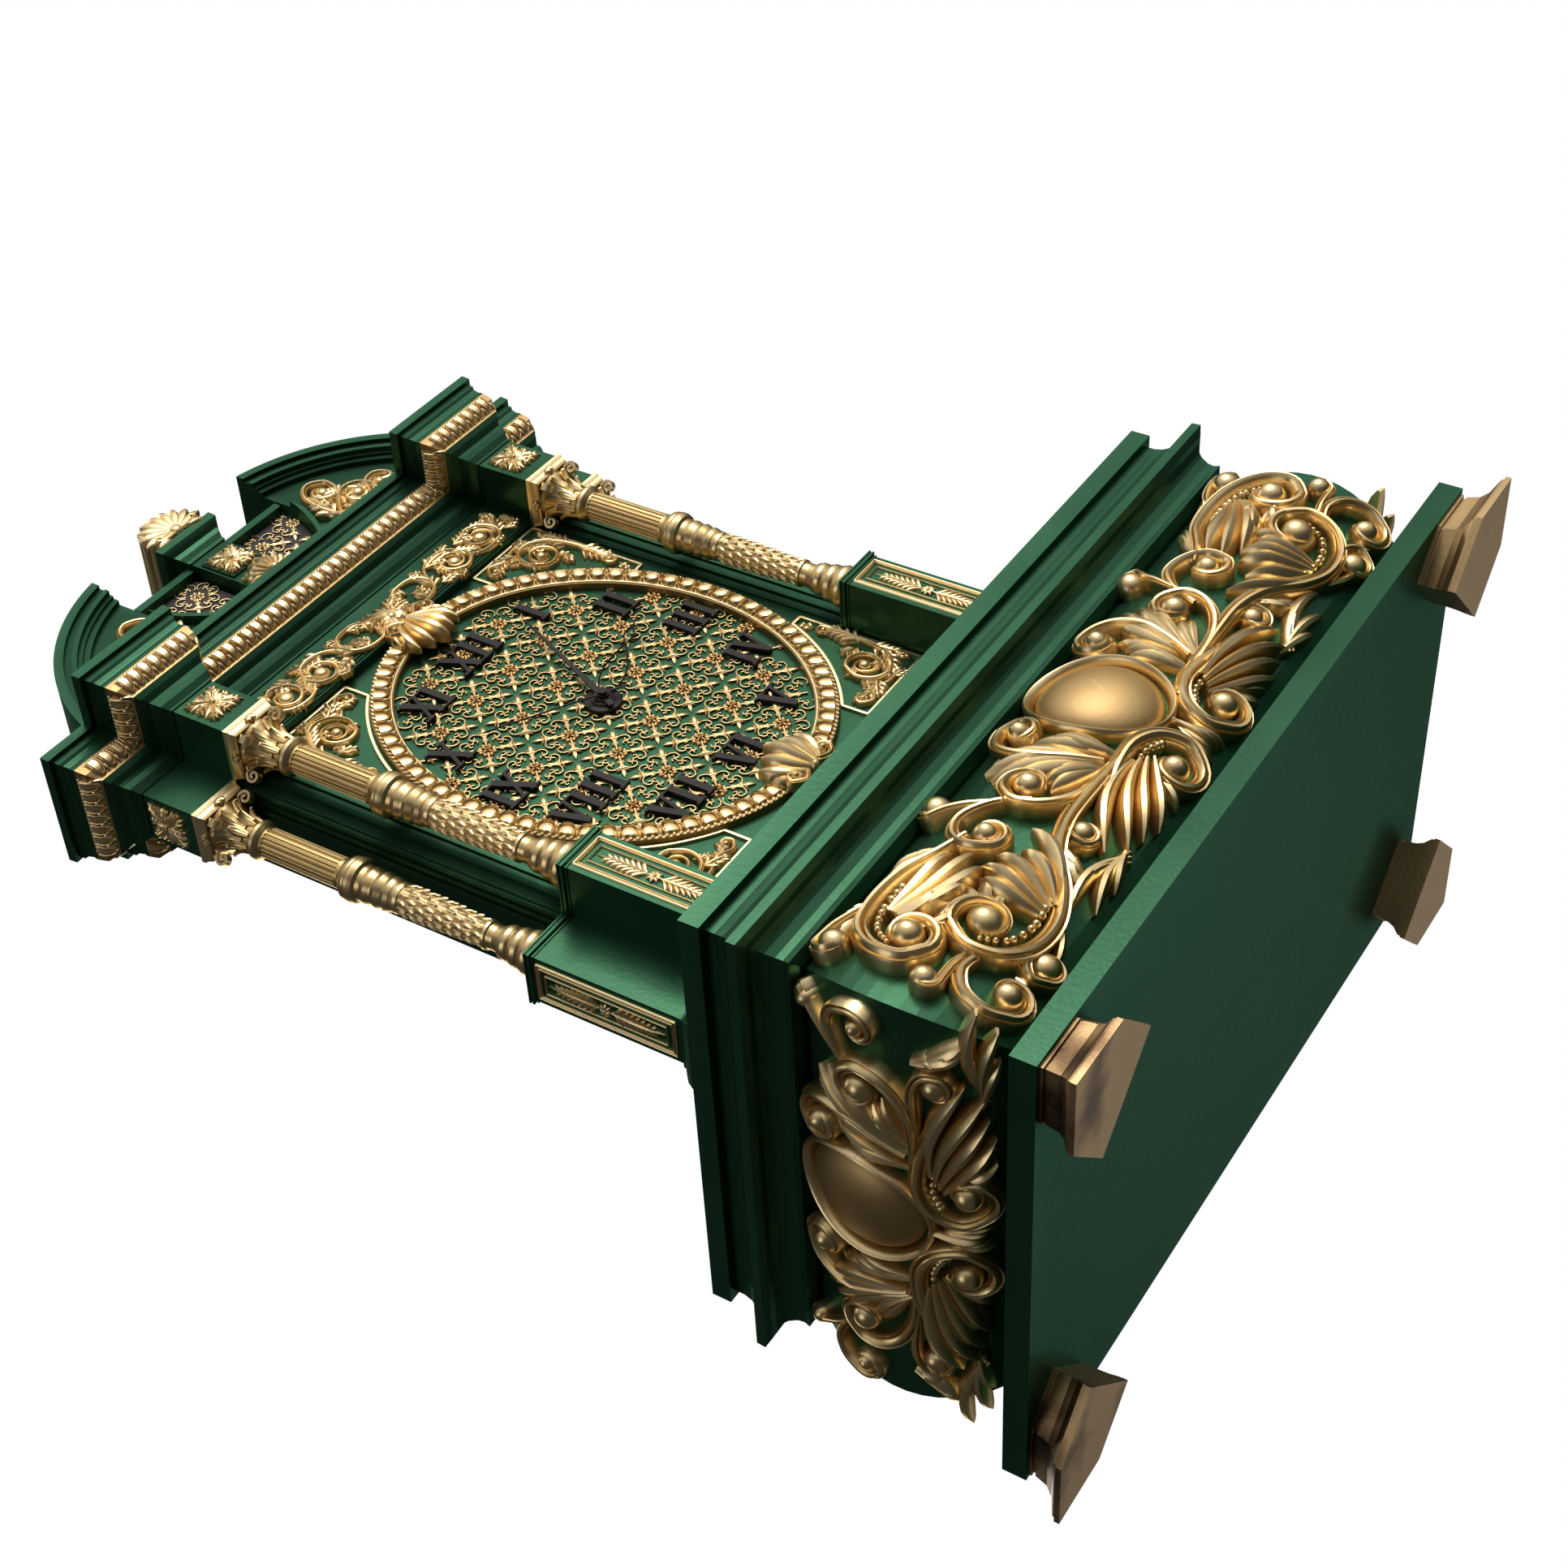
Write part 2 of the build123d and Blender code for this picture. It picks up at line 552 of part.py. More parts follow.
def fret_region(inset):
    """Area between the centre block and the concave rib, one side at a time."""
    for sx in (-1, 1):
        arc = [rib_cz - 11 - (rib_cz - 11 - cor_z1) * i / 12 for i in range(13)]
        edge = [(rib_cx + math.sqrt((rib_r - 1.3 - inset) ** 2 - (z - rib_cz) ** 2), z) for z in arc]
        pts = [(13.4 + inset, arc[0])] + edge + [(13.4 + inset, cor_z1)]
        Polygon(*[(sx * min(x, seg_x), z) for x, z in pts], align=None)


with BuildPart() as fret_frame:
    with BuildSketch(front_plane(-4.0)):
        fret_region(0.05)
    extrude(amount=5.0)
    for sx in (-1, 1):
        x0, x1 = sorted((sx * 13.5, sx * 50.5))
        block(x0, x1, -14.5, -9.0, 560.5, 564.6)
save(fret_frame.part, "fret_frame")

with BuildPart() as fret_panels:
    with BuildSketch(front_plane(-9.0)):
        lattice(534.0, pitch / 2, 4, 2, 2.4, 1.1)
        with BuildSketch(mode=Mode.INTERSECT):
            fret_region(0.8)
        with Locations((0, 568)):
            Rectangle(120, 16, mode=Mode.SUBTRACT)
    extrude(amount=1.6)
save(fret_panels.part, "fret_panels")


def block_outline(o):
    return [(-11.7 - o, frieze_y - o), (11.7 + o, frieze_y - o), (11.7 + o, 12.0 + o), (-11.7 - o, 12.0 + o)]


with BuildPart() as centre_block:
    courses([(1.3, cor_z1), (1.3, 531.5), (0.6, 532.2), (0, 533.0), (0, 562.8), (0.8, 563.0), (1.0, 565.0),
             (2.6, 567.5), (3.4, 570.0), (5.6, 571.6), (7.2, 573.0), (7.4, 577.7)], block_outline)
    with BuildSketch(front_plane(frieze_y)):
        with Locations((0, 547.5)):
            Rectangle(20.4, 20.4)
    extrude(amount=0.9)
    with BuildSketch(front_plane(frieze_y - 0.8)):
        with Locations((0, 547.5)):
            rosette(9.0)
    extrude(amount=1.3)
save(centre_block.part, "centre_block")

with BuildPart() as shell:
    with BuildSketch(front_plane(12.0)):
        with Locations((0, 586.4)):
            Circle(12.2)
            with PolarLocations(12.6, 9, start_angle=-10, angular_range=200, endpoint=True):
                Circle(2.7)
        with Locations((0, 581.5)):
            Rectangle(20.0, 7.6)
        with Locations((0, 567.7)):
            Rectangle(60.0, 20.0, mode=Mode.SUBTRACT)
    extrude(amount=32.4)
    for i in range(9):
        a = math.radians(-10 + 25 * i)
        disc(12.2 * math.cos(a), 586.4 + 12.2 * math.sin(a), 2.2, -22.2, -20.3)
    disc(0, 583.2, 5.0, -23.8, -20.3)
save(shell.part, "shell")

with BuildPart() as cartouche:
    for y, w, h in ((frieze_y - 1.3, 11.0, 11.0), (-20.4, 9.2, 9.6), (-23.0, 4.6, 5.0)):
        with BuildSketch(front_plane(y)):
            with Locations((0, 520.4)):
                Ellipse(w, h)
    loft(ruled=True)
save(cartouche.part, "cartouche")

# ---- movement ----
plate_half, plate_z0, plate_z1 = 36.0, dial_z - 43.0, dial_z + 37.0
wheel_xz = (mesh_d * math.sqrt(0.5), dial_z + mesh_d * math.sqrt(0.5))
barrel_d = 24.0
barrel_xz = (-0.6 * barrel_d, dial_z - 0.8 * barrel_d)
balance_xz = (-16.0, dial_z + 21.0)
pillar_xz = [(sx * 31.0, z) for sx in (-1, 1) for z in (plate_z0 + 5, plate_z1 - 5)]
centre_xz = (0.0, dial_z)


def gear(xz, teeth, module, y0, y1, phase):
    """Spur wheel along Y with one tooth at phase degrees clockwise from the top."""
    r = teeth * module / 2
    pts = []
    for i in range(teeth):
        for k, rr in ((-0.3, r - 1.15 * module), (-0.12, r + 0.9 * module),
                      (0.12, r + 0.9 * module), (0.3, r - 1.15 * module)):
            a = math.radians(phase) + 2 * math.pi * (i + k) / teeth
            pts.append((xz[0] + rr * math.sin(a), xz[1] + rr * math.cos(a)))
    with BuildSketch(front_plane(y1)) as section:
        Polygon(*pts, align=None)
    extrude(section.sketch, amount=y1 - y0)


for name, y0, y1, centre_hole in (("movement_front_plate", -2.4, -0.4, 2.46),
                                  ("movement_back_plate", 18.0, 20.0, 0.86)):
    with BuildPart() as plate:
        block(-plate_half, plate_half, y0, y1, plate_z0, plate_z1)
        disc(*centre_xz, centre_hole, y0 - 1, y1 + 1, Mode.SUBTRACT)
        disc(*wheel_xz, 1.26, y0 - 1, y1 + 1, Mode.SUBTRACT)
        disc(*barrel_xz, 2.06, y0 - 1, y1 + 1, Mode.SUBTRACT)
        disc(*balance_xz, 0.66, y0 - 1, y1 + 1, Mode.SUBTRACT)
        for xz in pillar_xz:
            disc(*xz, 1.55, y0 - 1, y1 + 1, Mode.SUBTRACT)
    save(plate.part, name)

with BuildPart() as movement_pillars:
    for x, z in pillar_xz:
        disc(x, z, 3.0, -0.4, 18.0)
        disc(x, z, 1.5, -2.4, 20.0)
        disc(x, z, 2.8, 20.0, 21.6)
        disc(x, z, 3.0, -9.1, -2.4)
save(movement_pillars.part, "movement_pillars")

with BuildPart() as minute_arbor:
    disc(*centre_xz, 2.4, -15.4, 6.0)
    gear(centre_xz, 12, mesh_d * 2 / 48, -4.6, -3.2, 45.0)
    gear(centre_xz, 12, barrel_d * 2 / 96, 3.0, 5.0, 216.87)
    disc(*centre_xz, 0.88, -16.5, 7.0, Mode.SUBTRACT)
save(minute_arbor.part, "minute_arbor")

with BuildPart() as hour_wheel:
    disc(*centre_xz, 3.4, -14.3, -5.8)
    disc(*centre_xz, 8.1, -13.6, -12.4)
    gear(centre_xz, 40, mesh_d * 2 / 50, -7.2, -5.8, 45.0)
    disc(*centre_xz, 2.48, -16.0, -5.0, Mode.SUBTRACT)
save(hour_wheel.part, "hour_wheel")

with BuildPart() as minute_wheel:
    disc(*wheel_xz, 1.2, -8.4, 22.0)
    gear(wheel_xz, 36, mesh_d * 2 / 48, -4.6, -3.2, 230.0)
    gear(wheel_xz, 10, mesh_d * 2 / 50, -7.2, -4.6, 243.0)
    disc(*wheel_xz, 5.0, 22.0, 26.4)
save(minute_wheel.part, "minute_wheel")

with BuildPart() as barrel:
    disc(*barrel_xz, 2.0, -2.2, 24.0)
    gear(barrel_xz, 84, barrel_d * 2 / 96, 3.0, 5.0, 36.87 + 180 / 84)
    disc(*barrel_xz, 13.5, 5.0, 16.6)
    with BuildSketch(front_plane(25.6)):
        with Locations(barrel_xz):
            Rectangle(2.6, 2.6)
    extrude(amount=3.0)
save(barrel.part, "barrel")

with BuildPart() as balance:
    with BuildSketch(front_plane(13.4)):
        with Locations(balance_xz):
            Circle(9.0)
            Circle(7.4, mode=Mode.SUBTRACT)
            Rectangle(15.6, 1.4)
            Circle(1.6)
    extrude(amount=1.4)
    disc(*balance_xz, 0.6, -2.0, 19.6)
save(balance.part, "balance")

# ---- hands, at the time shown ----


def hand_at(angle):
    return Locations(Location((0, dial_z, 0), (0, 0, -angle)))


with BuildPart() as hour_hand:
    with BuildSketch(front_plane(-14.3)):
        with hand_at(hand_hour):
            Circle(5.2)
            with Locations((0, 23.0)):
                Ellipse(5.2, 19.4)
                Ellipse(4.1, 18.2, mode=Mode.SUBTRACT)
            with Locations((0, 45.0)):
                Ellipse(2.6, 4.6)
                Ellipse(1.7, 3.5, mode=Mode.SUBTRACT)
            Polygon((-0.8, 48.6), (0.8, 48.6), (0.25, 63.4), (-0.25, 63.4), align=None)
            Circle(2.48, mode=Mode.SUBTRACT)
    extrude(amount=0.6)
save(hour_hand.part, "hour_hand")

with BuildPart() as minute_hand:
    with BuildSketch(front_plane(-15.4)):
        with hand_at(hand_min):
            Circle(4.0)
            Polygon((-1.6, -8.0), (1.6, -8.0), (1.5, 8.0), (0.35, 70.9), (-0.35, 70.9), (-1.5, 8.0), align=None)
            Circle(0.88, mode=Mode.SUBTRACT)
    extrude(amount=0.8)
save(minute_hand.part, "minute_hand")

with BuildPart() as seconds_hand:
    with BuildSketch(front_plane(-17.0)):
        with hand_at(hand_sec):
            Circle(3.0)
            Polygon((-0.5, -12.0), (0.5, -12.0), (0.2, 57.0), (-0.2, 57.0), align=None)
    extrude(amount=0.6)
    disc(*centre_xz, 0.82, -17.6, 19.6)
    disc(*centre_xz, 2.2, -19.0, -17.5)
    gear(centre_xz, 30, 0.6, 8.0, 9.2, 0.0)
save(seconds_hand.part, "seconds_hand")

# ---- rear door, hinges and latch ----
door_x, door_h = 73.6, 83.6
hinge_x, hinge_y = -75.5, 33.8
latch_x = 66.0
with BuildPart() as rear_door:
    block(-door_x, door_x, 29.4, back_y, dial_z - door_h, dial_z + door_h)
    disc(latch_x, dial_z, 1.56, 28.0, 33.0, Mode.SUBTRACT)
save(rear_door.part, "rear_door")


def knuckle(z0, z1, r, mode=Mode.ADD):
    with BuildSketch(Plane.XY.offset(z0)) as section:
        with Locations((hinge_x, hinge_y)):
            Circle(r)
    extrude(section.sketch, amount=z1 - z0, mode=mode)


hinge_zs = (dial_z - 60.0, dial_z + 60.0)
with BuildPart() as hinge_fixed:
    for h in hinge_zs:
        block(-89.0, hinge_x, back_y, back_y + 1.2, h - 9, h + 9)
        block(-79.0, hinge_x + 1, back_y - 1, back_y + 2, h - 3.4, h + 3.4, mode=Mode.SUBTRACT)
        for z0 in (h - 9.0, h + 3.4):
            block(hinge_x - 2.0, hinge_x, back_y, hinge_y, z0, z0 + 5.6)
            knuckle(z0, z0 + 5.6, 2.0)
        knuckle(h - 9.0, h + 9.0, 1.0)
save(hinge_fixed.part, "hinge_fixed")

with BuildPart() as hinge_moving:
    for h in hinge_zs:
        block(-72.8, -62.0, back_y, back_y + 1.6, h - 9, h + 9)
        block(hinge_x, -72.0, back_y + 0.45, back_y + 1.6, h - 3, h + 3)
        knuckle(h - 3.0, h + 3.0, 2.0)
        knuckle(h - 4.0, h + 4.0, 1.06, Mode.SUBTRACT)
save(hinge_moving.part, "hinge_moving")

with BuildPart() as latch:
    disc(latch_x, dial_z, 1.5, 24.4, 33.0)
    disc(latch_x, dial_z, 5.0, back_y + 0.35, 38.0)
    block(latch_x - 3.0, latch_x + 3.0, 24.4, 26.0, dial_z - 3.0, dial_z + 13.0)
save(latch.part, "latch")
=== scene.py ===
import json
from math import atan2, copysign, cos, degrees, hypot, pi, radians, sin, sqrt
import bmesh
import bpy
from mathutils import Matrix, Vector


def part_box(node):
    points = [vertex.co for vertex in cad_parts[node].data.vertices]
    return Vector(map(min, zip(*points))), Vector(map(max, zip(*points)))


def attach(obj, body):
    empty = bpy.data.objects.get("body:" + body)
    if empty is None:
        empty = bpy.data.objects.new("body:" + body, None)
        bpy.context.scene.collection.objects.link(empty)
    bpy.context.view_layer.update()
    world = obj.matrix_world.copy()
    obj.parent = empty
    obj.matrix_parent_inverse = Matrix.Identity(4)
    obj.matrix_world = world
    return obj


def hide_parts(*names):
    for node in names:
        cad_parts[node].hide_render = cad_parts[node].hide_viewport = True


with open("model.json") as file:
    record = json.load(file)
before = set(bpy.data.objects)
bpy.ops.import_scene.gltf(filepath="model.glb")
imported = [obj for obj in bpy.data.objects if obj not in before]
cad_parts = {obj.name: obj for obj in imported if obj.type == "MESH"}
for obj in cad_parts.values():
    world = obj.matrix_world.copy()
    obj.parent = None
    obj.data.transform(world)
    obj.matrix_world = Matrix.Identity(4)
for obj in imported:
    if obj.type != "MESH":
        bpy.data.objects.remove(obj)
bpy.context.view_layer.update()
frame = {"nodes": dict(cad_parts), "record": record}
NODES = frame["nodes"]

# Ornament is laid out in millimetres and built in metres. The floor, lights and camera are in metres.
DIAL_Z = 331.0  # height of the dial's centre
DIAL_A, DIAL_B = 84.0, 97.5  # half axes of the bezel's inner edge
PANEL_FACE = -12.07  # y of the fronts that carry ornament: dial panel
DIAL_FACE = -11.0  # dial plate
FRET_FACE = -9.0  # back of the openwork in the pediment
FRIEZE_FACE = -16.5  # frieze between the blocks
TYMPANUM_FACE = -15.0  # field of each curved segment
CENTRE_FACE = -17.4  # ground of the centre block's rosette
CARTOUCHE_FACE = -17.8  # plain ground of the cartouche
SHELL_FACE = -22.6  # ground of the shell, just inside its front
CLASP_FACE = -16.4  # ground of the clasps, just inside the bezel's front
RIB_X, RIB_Z, RIB_R = -31.6, 575.6, 86.8  # centre and radius of the concave rib, on its own side

# -------------------- materials
PATCH_SCALE = 26.0  # noise scale of the worn patches
GRAIN_SCALE = 420.0  # noise scale of the cast grain
GRAIN_DEPTH = 0.0006  # depth of the grain in metres
GRAIN_STRENGTH = 0.12
WARM = (1.0, 0.86, 0.62)


def add_node(tree, kind, **values):
    """New shader node of a kind, with its inputs set by name."""
    node = tree.nodes.new("ShaderNode" + kind)
    for name, value in values.items():
        node.inputs[name.replace("_", " ")].default_value = value
    return node


def principled(name, **values):
    """Material with one Principled shader wired to its output."""
    material = bpy.data.materials.new(name)
    material.use_nodes = True
    tree = material.node_tree
    tree.nodes.clear()
    output = add_node(tree, "OutputMaterial")
    shader = add_node(tree, "BsdfPrincipled", **values)
    tree.links.new(shader.outputs[0], output.inputs[0])
    return material, tree, shader


def finish(name, cavity_shade, mid, light, rough, metallic=1.0, grain=GRAIN_SCALE, stretch=(1, 1, 1), edge=(1, 1, 1),
        blotch=0.10, spec=0.5):
    """Painted shade in cavities, edges rubbed light, mottled roughness and a fine cast grain."""
    material, tree, shader = principled(name, Metallic=metallic, Specular_Tint=(*edge, 1),
        Specular_IOR_Level=spec)
    link = tree.links.new
    coords = add_node(tree, "TexCoord")
    mapping = add_node(tree, "Mapping", Scale=stretch)
    link(coords.outputs["Object"], mapping.inputs[0])
    patches = add_node(tree, "TexNoise", Scale=PATCH_SCALE, Detail=5.0)
    cast = add_node(tree, "TexNoise", Scale=grain, Detail=3.0)
    for noise in (patches, cast):
        link(mapping.outputs[0], noise.inputs["Vector"])

    geometry = add_node(tree, "NewGeometry")
    wear = add_node(tree, "Math")
    wear.operation = "MULTIPLY_ADD"
    wear.inputs[1].default_value = blotch
    wear.inputs[2].default_value = -blotch / 2
    link(patches.outputs["Fac"], wear.inputs[0])
    # Ramp input: pointiness plus worn patches. The ramp paints shade into cavities, the flat colour on plain
    # faces and rubbed light on convex edges.
    height = add_node(tree, "Math")
    height.operation = "ADD"
    link(geometry.outputs["Pointiness"], height.inputs[0])
    link(wear.outputs[0], height.inputs[1])
    ramp = add_node(tree, "ValToRGB")
    stops = ramp.color_ramp.elements
    stops[0].position, stops[0].color = 0.26, (*cavity_shade, 1)
    stops[1].position, stops[1].color = 0.66, (*light, 1)
    stops.new(0.46).color = (*mid, 1)
    link(height.outputs[0], ramp.inputs[0])
    link(ramp.outputs[0], shader.inputs["Base Color"])

    gloss = add_node(tree, "MapRange", To_Min=rough - 0.07, To_Max=rough + 0.1)
    link(patches.outputs["Fac"], gloss.inputs["Value"])
    link(gloss.outputs[0], shader.inputs["Roughness"])
    bump = add_node(tree, "Bump", Strength=GRAIN_STRENGTH, Distance=GRAIN_DEPTH)
    link(cast.outputs["Fac"], bump.inputs["Height"])
    link(bump.outputs[0], shader.inputs["Normal"])
    return material


# Each finish: painted cavity shade, flat colour, rubbed-edge colour, roughness.
GREEN = finish("green_satin", (0.003, 0.012, 0.007), (0.013, 0.044, 0.022), (0.03, 0.098, 0.05), 0.31, 0.74,
    edge=(0.45, 0.8, 0.6))
GOLD = finish("antique_gilt", (0.15, 0.085, 0.032), (0.53, 0.37, 0.155), (0.92, 0.73, 0.42), 0.33, edge=WARM)
BLACK = finish("black_enamel", (0.005, 0.004, 0.004), (0.010, 0.008, 0.007), (0.024, 0.020, 0.017), 0.42,
    0.0, spec=0.16)
SATIN = finish("satin_gilt", (0.18, 0.105, 0.04), (0.40, 0.265, 0.115), (0.52, 0.37, 0.18), 0.50, edge=WARM)
COPPER = finish("copper_gilt", (0.24, 0.11, 0.035), (0.46, 0.27, 0.10), (0.62, 0.40, 0.17), 0.34)
FINE = finish("filigree_gilt", (0.20, 0.12, 0.04), (0.38, 0.26, 0.11), (0.54, 0.38, 0.18), 0.34)
# The gilt painted darker as shade, for recessed grounds: the egg-and-dart band and the bezel channel.
SHADED_GILT = finish("recess_painted_shade", (0.08, 0.045, 0.018), (0.27, 0.17, 0.07), (0.50, 0.34, 0.15), 0.40)
# Right feet: the gilt painted darker as shade.
SHADED_FOOT_GILT = finish("foot_painted_shade", (0.10, 0.055, 0.022), (0.34, 0.21, 0.088), (0.55, 0.38, 0.19), 0.40)
# Left feet: the gilt painted darker still as shade, with random blotchy mottling.
MOTTLED_SHADED_FOOT = finish("foot_mottled_painted_shade", (0.02, 0.013, 0.01), (0.20, 0.12, 0.06), (0.52, 0.35, 0.18), 0.42,
    grain=900.0, blotch=1.5)
GROUND = finish("fret_ground", (0.008, 0.006, 0.006), (0.018, 0.013, 0.013), (0.03, 0.024, 0.024), 0.7, 0.0)
BRASS = finish("movement_brass", (0.25, 0.15, 0.05), (0.62, 0.44, 0.19), (0.85, 0.67, 0.36), 0.3,
    grain=900.0, stretch=(1, 1, 9))
STEEL = finish("brushed_steel", (0.2, 0.2, 0.2), (0.5, 0.5, 0.49), (0.72, 0.72, 0.7), 0.3, grain=800.0,
    stretch=(9, 1, 1))
BY_SLOT = {"green_case": GREEN, "gilt": GOLD, "black": BLACK, "movement_brass": BRASS, "steel": STEEL}
# The egg-and-dart band's ground takes the gilt painted darker as shade.
BY_NODE = {"egg_dart_band": SHADED_GILT, "foot_front_left": MOTTLED_SHADED_FOOT, "foot_rear_left": MOTTLED_SHADED_FOOT,
    "foot_front_right": SHADED_FOOT_GILT, "foot_rear_right": SHADED_FOOT_GILT}
for sub in frame["record"]["subparts"]:
    cad_materials = NODES[sub["node"]].data.materials
    cad_materials.clear()
    cad_materials.append(BY_NODE.get(sub["node"], BY_SLOT[sub["material_slot"]]))

# -------------------- relief tools (millimetres on a surface)


def lerp(values, t):
    """Piecewise linear value of a short list at t from 0 to 1."""
    if not isinstance(values, (list, tuple)):
        return values
    x = min(max(t, 0.0), 1.0) * (len(values) - 1)
    i = min(int(x), len(values) - 2)
    return values[i] + (values[i + 1] - values[i]) * (x - i)


def lerp_table(table, z):
    """Piecewise linear value at z of a table of (z, value), held beyond its last row."""
    for (z0, o0), (z1, o1) in zip(table, table[1:]):
        if z <= z1:
            return o0 + (o1 - o0) * max(z - z0, 0) / (z1 - z0)
    return table[-1][1]


def smooth(pts, n=5):
    """Catmull-Rom curve through the points, n steps to each gap."""
    def blend(a, b, c, d, t):
        bend = 2 * a - 5 * b + 4 * c - d
        return 0.5 * (2 * b + (c - a) * t + bend * t * t + (3 * b - a - 3 * c + d) * t ** 3)

    out = []
    for i in range(len(pts) - 1):
        near = pts[max(i - 1, 0)], pts[i], pts[i + 1], pts[min(i + 2, len(pts) - 1)]
        for j in range(n):
            out.append(tuple(blend(*axis, j / n) for axis in zip(*near)))
    return out + [tuple(pts[-1])]


# Cross-sections of a band from edge to edge: share of the half width, share of the height.
ROUND = [(-1, 0.0), (-0.86, 0.5), (-0.45, 0.9), (0, 1.0), (0.45, 0.9), (0.86, 0.5), (1, 0.0)]
MOULD = [(-1, 0.0), (-1, 0.55), (-0.82, 0.74), (-0.6, 0.66), (-0.5, 0.84), (-0.15, 1.0), (0.2, 0.96),
    (0.45, 0.72), (0.56, 0.82), (0.78, 0.86), (1, 0.6), (1, 0.0)]
LOBE = [(-1, -0.1), (-0.9, 0.52), (-0.6, 0.92), (-0.1, 1.0), (0.4, 0.84), (0.78, 0.5), (1, -0.1)]
SOFT = [(-1, 0.0), (-0.88, 0.66), (-0.55, 0.94), (0, 1.0), (0.55, 0.94), (0.88, 0.66), (1, 0.0)]
FLAT = [(-1, 0.0), (-0.86, 0.94), (0, 1.0), (0.86, 0.94), (1, 0.0)]
LOW = [(-1, 0.0), (-0.82, 0.82), (0, 1.0), (0.82, 0.82), (1, 0.0)]
SHARP = 42  # degrees between two faces past which their edge is drawn sharp
SINK = -0.7  # how far a band's edges go below the surface


class Relief:
    """One carved piece: closed shells laid on a surface given by place(u, v, h) in millimetres."""

    def __init__(self, place):
        self.place, self.verts, self.faces = place, [], []

    def shell(self, rows):
        """Closed tube through rows of points (u, v, h), capped at both ends."""
        base, m = len(self.verts), len(rows[0])
        for row in rows:
            self.verts += [self.place(*p) for p in row]
        for i in range(len(rows) - 1):
            for j in range(m):
                a, b = base + i * m + j, base + i * m + (j + 1) % m
                self.faces.append((a, b, b + m, a + m))
        self.faces.append(tuple(base + j for j in range(m))[::-1])
        self.faces.append(tuple(base + (len(rows) - 1) * m + j for j in range(m)))

    def hoop(self, rows):
        """Closed ring through rows of points (u, v, h), the last row joined to the first."""
        m, n = len(rows[0]), len(rows)
        for row in rows:
            self.verts += [self.place(*p) for p in row]
        for i in range(n):
            after = (i + 1) % n
            for j in range(m):
                self.faces.append((i * m + j, after * m + j, after * m + (j + 1) % m, i * m + (j + 1) % m))

    def band(self, path, w, h, prof=ROUND, lift=0.0, sink=SINK):
        """Moulding swept along a path; w and h may be lists that change along it."""
        rows, n = [], len(path)
        for i, p in enumerate(path):
            a, b = path[max(i - 1, 0)], path[min(i + 1, n - 1)]
            dx, dy = b[0] - a[0], b[1] - a[1]
            run = hypot(dx, dy) or 1.0
            nx, ny, t = -dy / run, dx / run, i / (n - 1)
            ww, hh, up = lerp(w, t) / 2, lerp(h, t), lerp(lift, t)
            row = [(p[0] + nx * s * ww, p[1] + ny * s * ww, up + k * hh) for s, k in prof]
            rows.append([(row[0][0], row[0][1], sink)] + row[1:-1] + [(row[-1][0], row[-1][1], sink)])
        self.shell(rows)

    def ball(self, u, v, r, h=None, lift=0.0, n=10, m=5, ru=None):
        """Dome of radius r and height h; ru is its radius along u where it is oval."""
        def ring(along, across, up):
            angles = (2 * pi * j / n for j in range(n))
            return [(u + along * cos(b), v + across * sin(b), up) for b in angles]

        h, ru = h or r, ru or r
        rows = [ring(ru, r, SINK + min(lift, 0))]
        for a in (pi / 2 * i / m for i in range(m)):
            rows.append(ring(ru * cos(a), r * cos(a), lift + h * sin(a)))
        self.shell(rows + [ring(0.02, 0.02, lift + h)])

    def finger(self, p, ang, length, w, h, bend=0.0, prof=None):
        """One leaf lobe: a tapering tongue that starts along ang degrees and bends by bend degrees."""
        path, a, q = [], radians(ang), p
        steps = 7 if length > 9 else 4
        prof = prof or (LOBE if length > 9 else LOW)
        for i in range(steps + 1):
            path.append(q)
            q = (q[0] + cos(a) * length / steps, q[1] + sin(a) * length / steps)
            a += radians(bend) / steps
        self.band(path, [0.55 * w, 0.95 * w, w, 0.82 * w, 0.1 * w], [0.7 * h, h, 1.1 * h, 0.9 * h, 0.35 * h],
            prof)

    def lobe(self, p, tip, bow, w, h, lift=0.0, steps=8):
        """One leaf lobe from p to tip, bowed sideways by bow times its length, broad near a rounded end."""
        mx, my = (p[0] + tip[0]) / 2, (p[1] + tip[1]) / 2
        c = (mx - (tip[1] - p[1]) * bow, my + (tip[0] - p[0]) * bow)
        path = [tuple((1 - t) ** 2 * a + 2 * t * (1 - t) * b + t * t * d for a, b, d in zip(p, c, tip))
            for t in (i / steps for i in range(steps + 1))]
        self.band(path, [0.42 * w, 0.64 * w, 0.84 * w, w, w, 0.82 * w, 0.2 * w],
            [0.7 * h, 0.84 * h, 0.96 * h, 1.08 * h, 1.14 * h, 1.0 * h, 0.5 * h], LOBE, lift)

    def fan(self, root, tips, bow, w, h, lift=0.0, root2=None):
        """Acanthus leaf: lobes that leave a short root line side by side and spread to their own tips."""
        n = len(tips)
        root2 = root2 or root
        for i, tip in enumerate(tips):
            t = i / max(n - 1, 1)
            p = (root[0] + (root2[0] - root[0]) * t, root[1] + (root2[1] - root[1]) * t)
            self.lobe(p, tip, lerp(bow, t), lerp(w, t), h * (1 - 0.1 * abs(2 * t - 1)), lift)

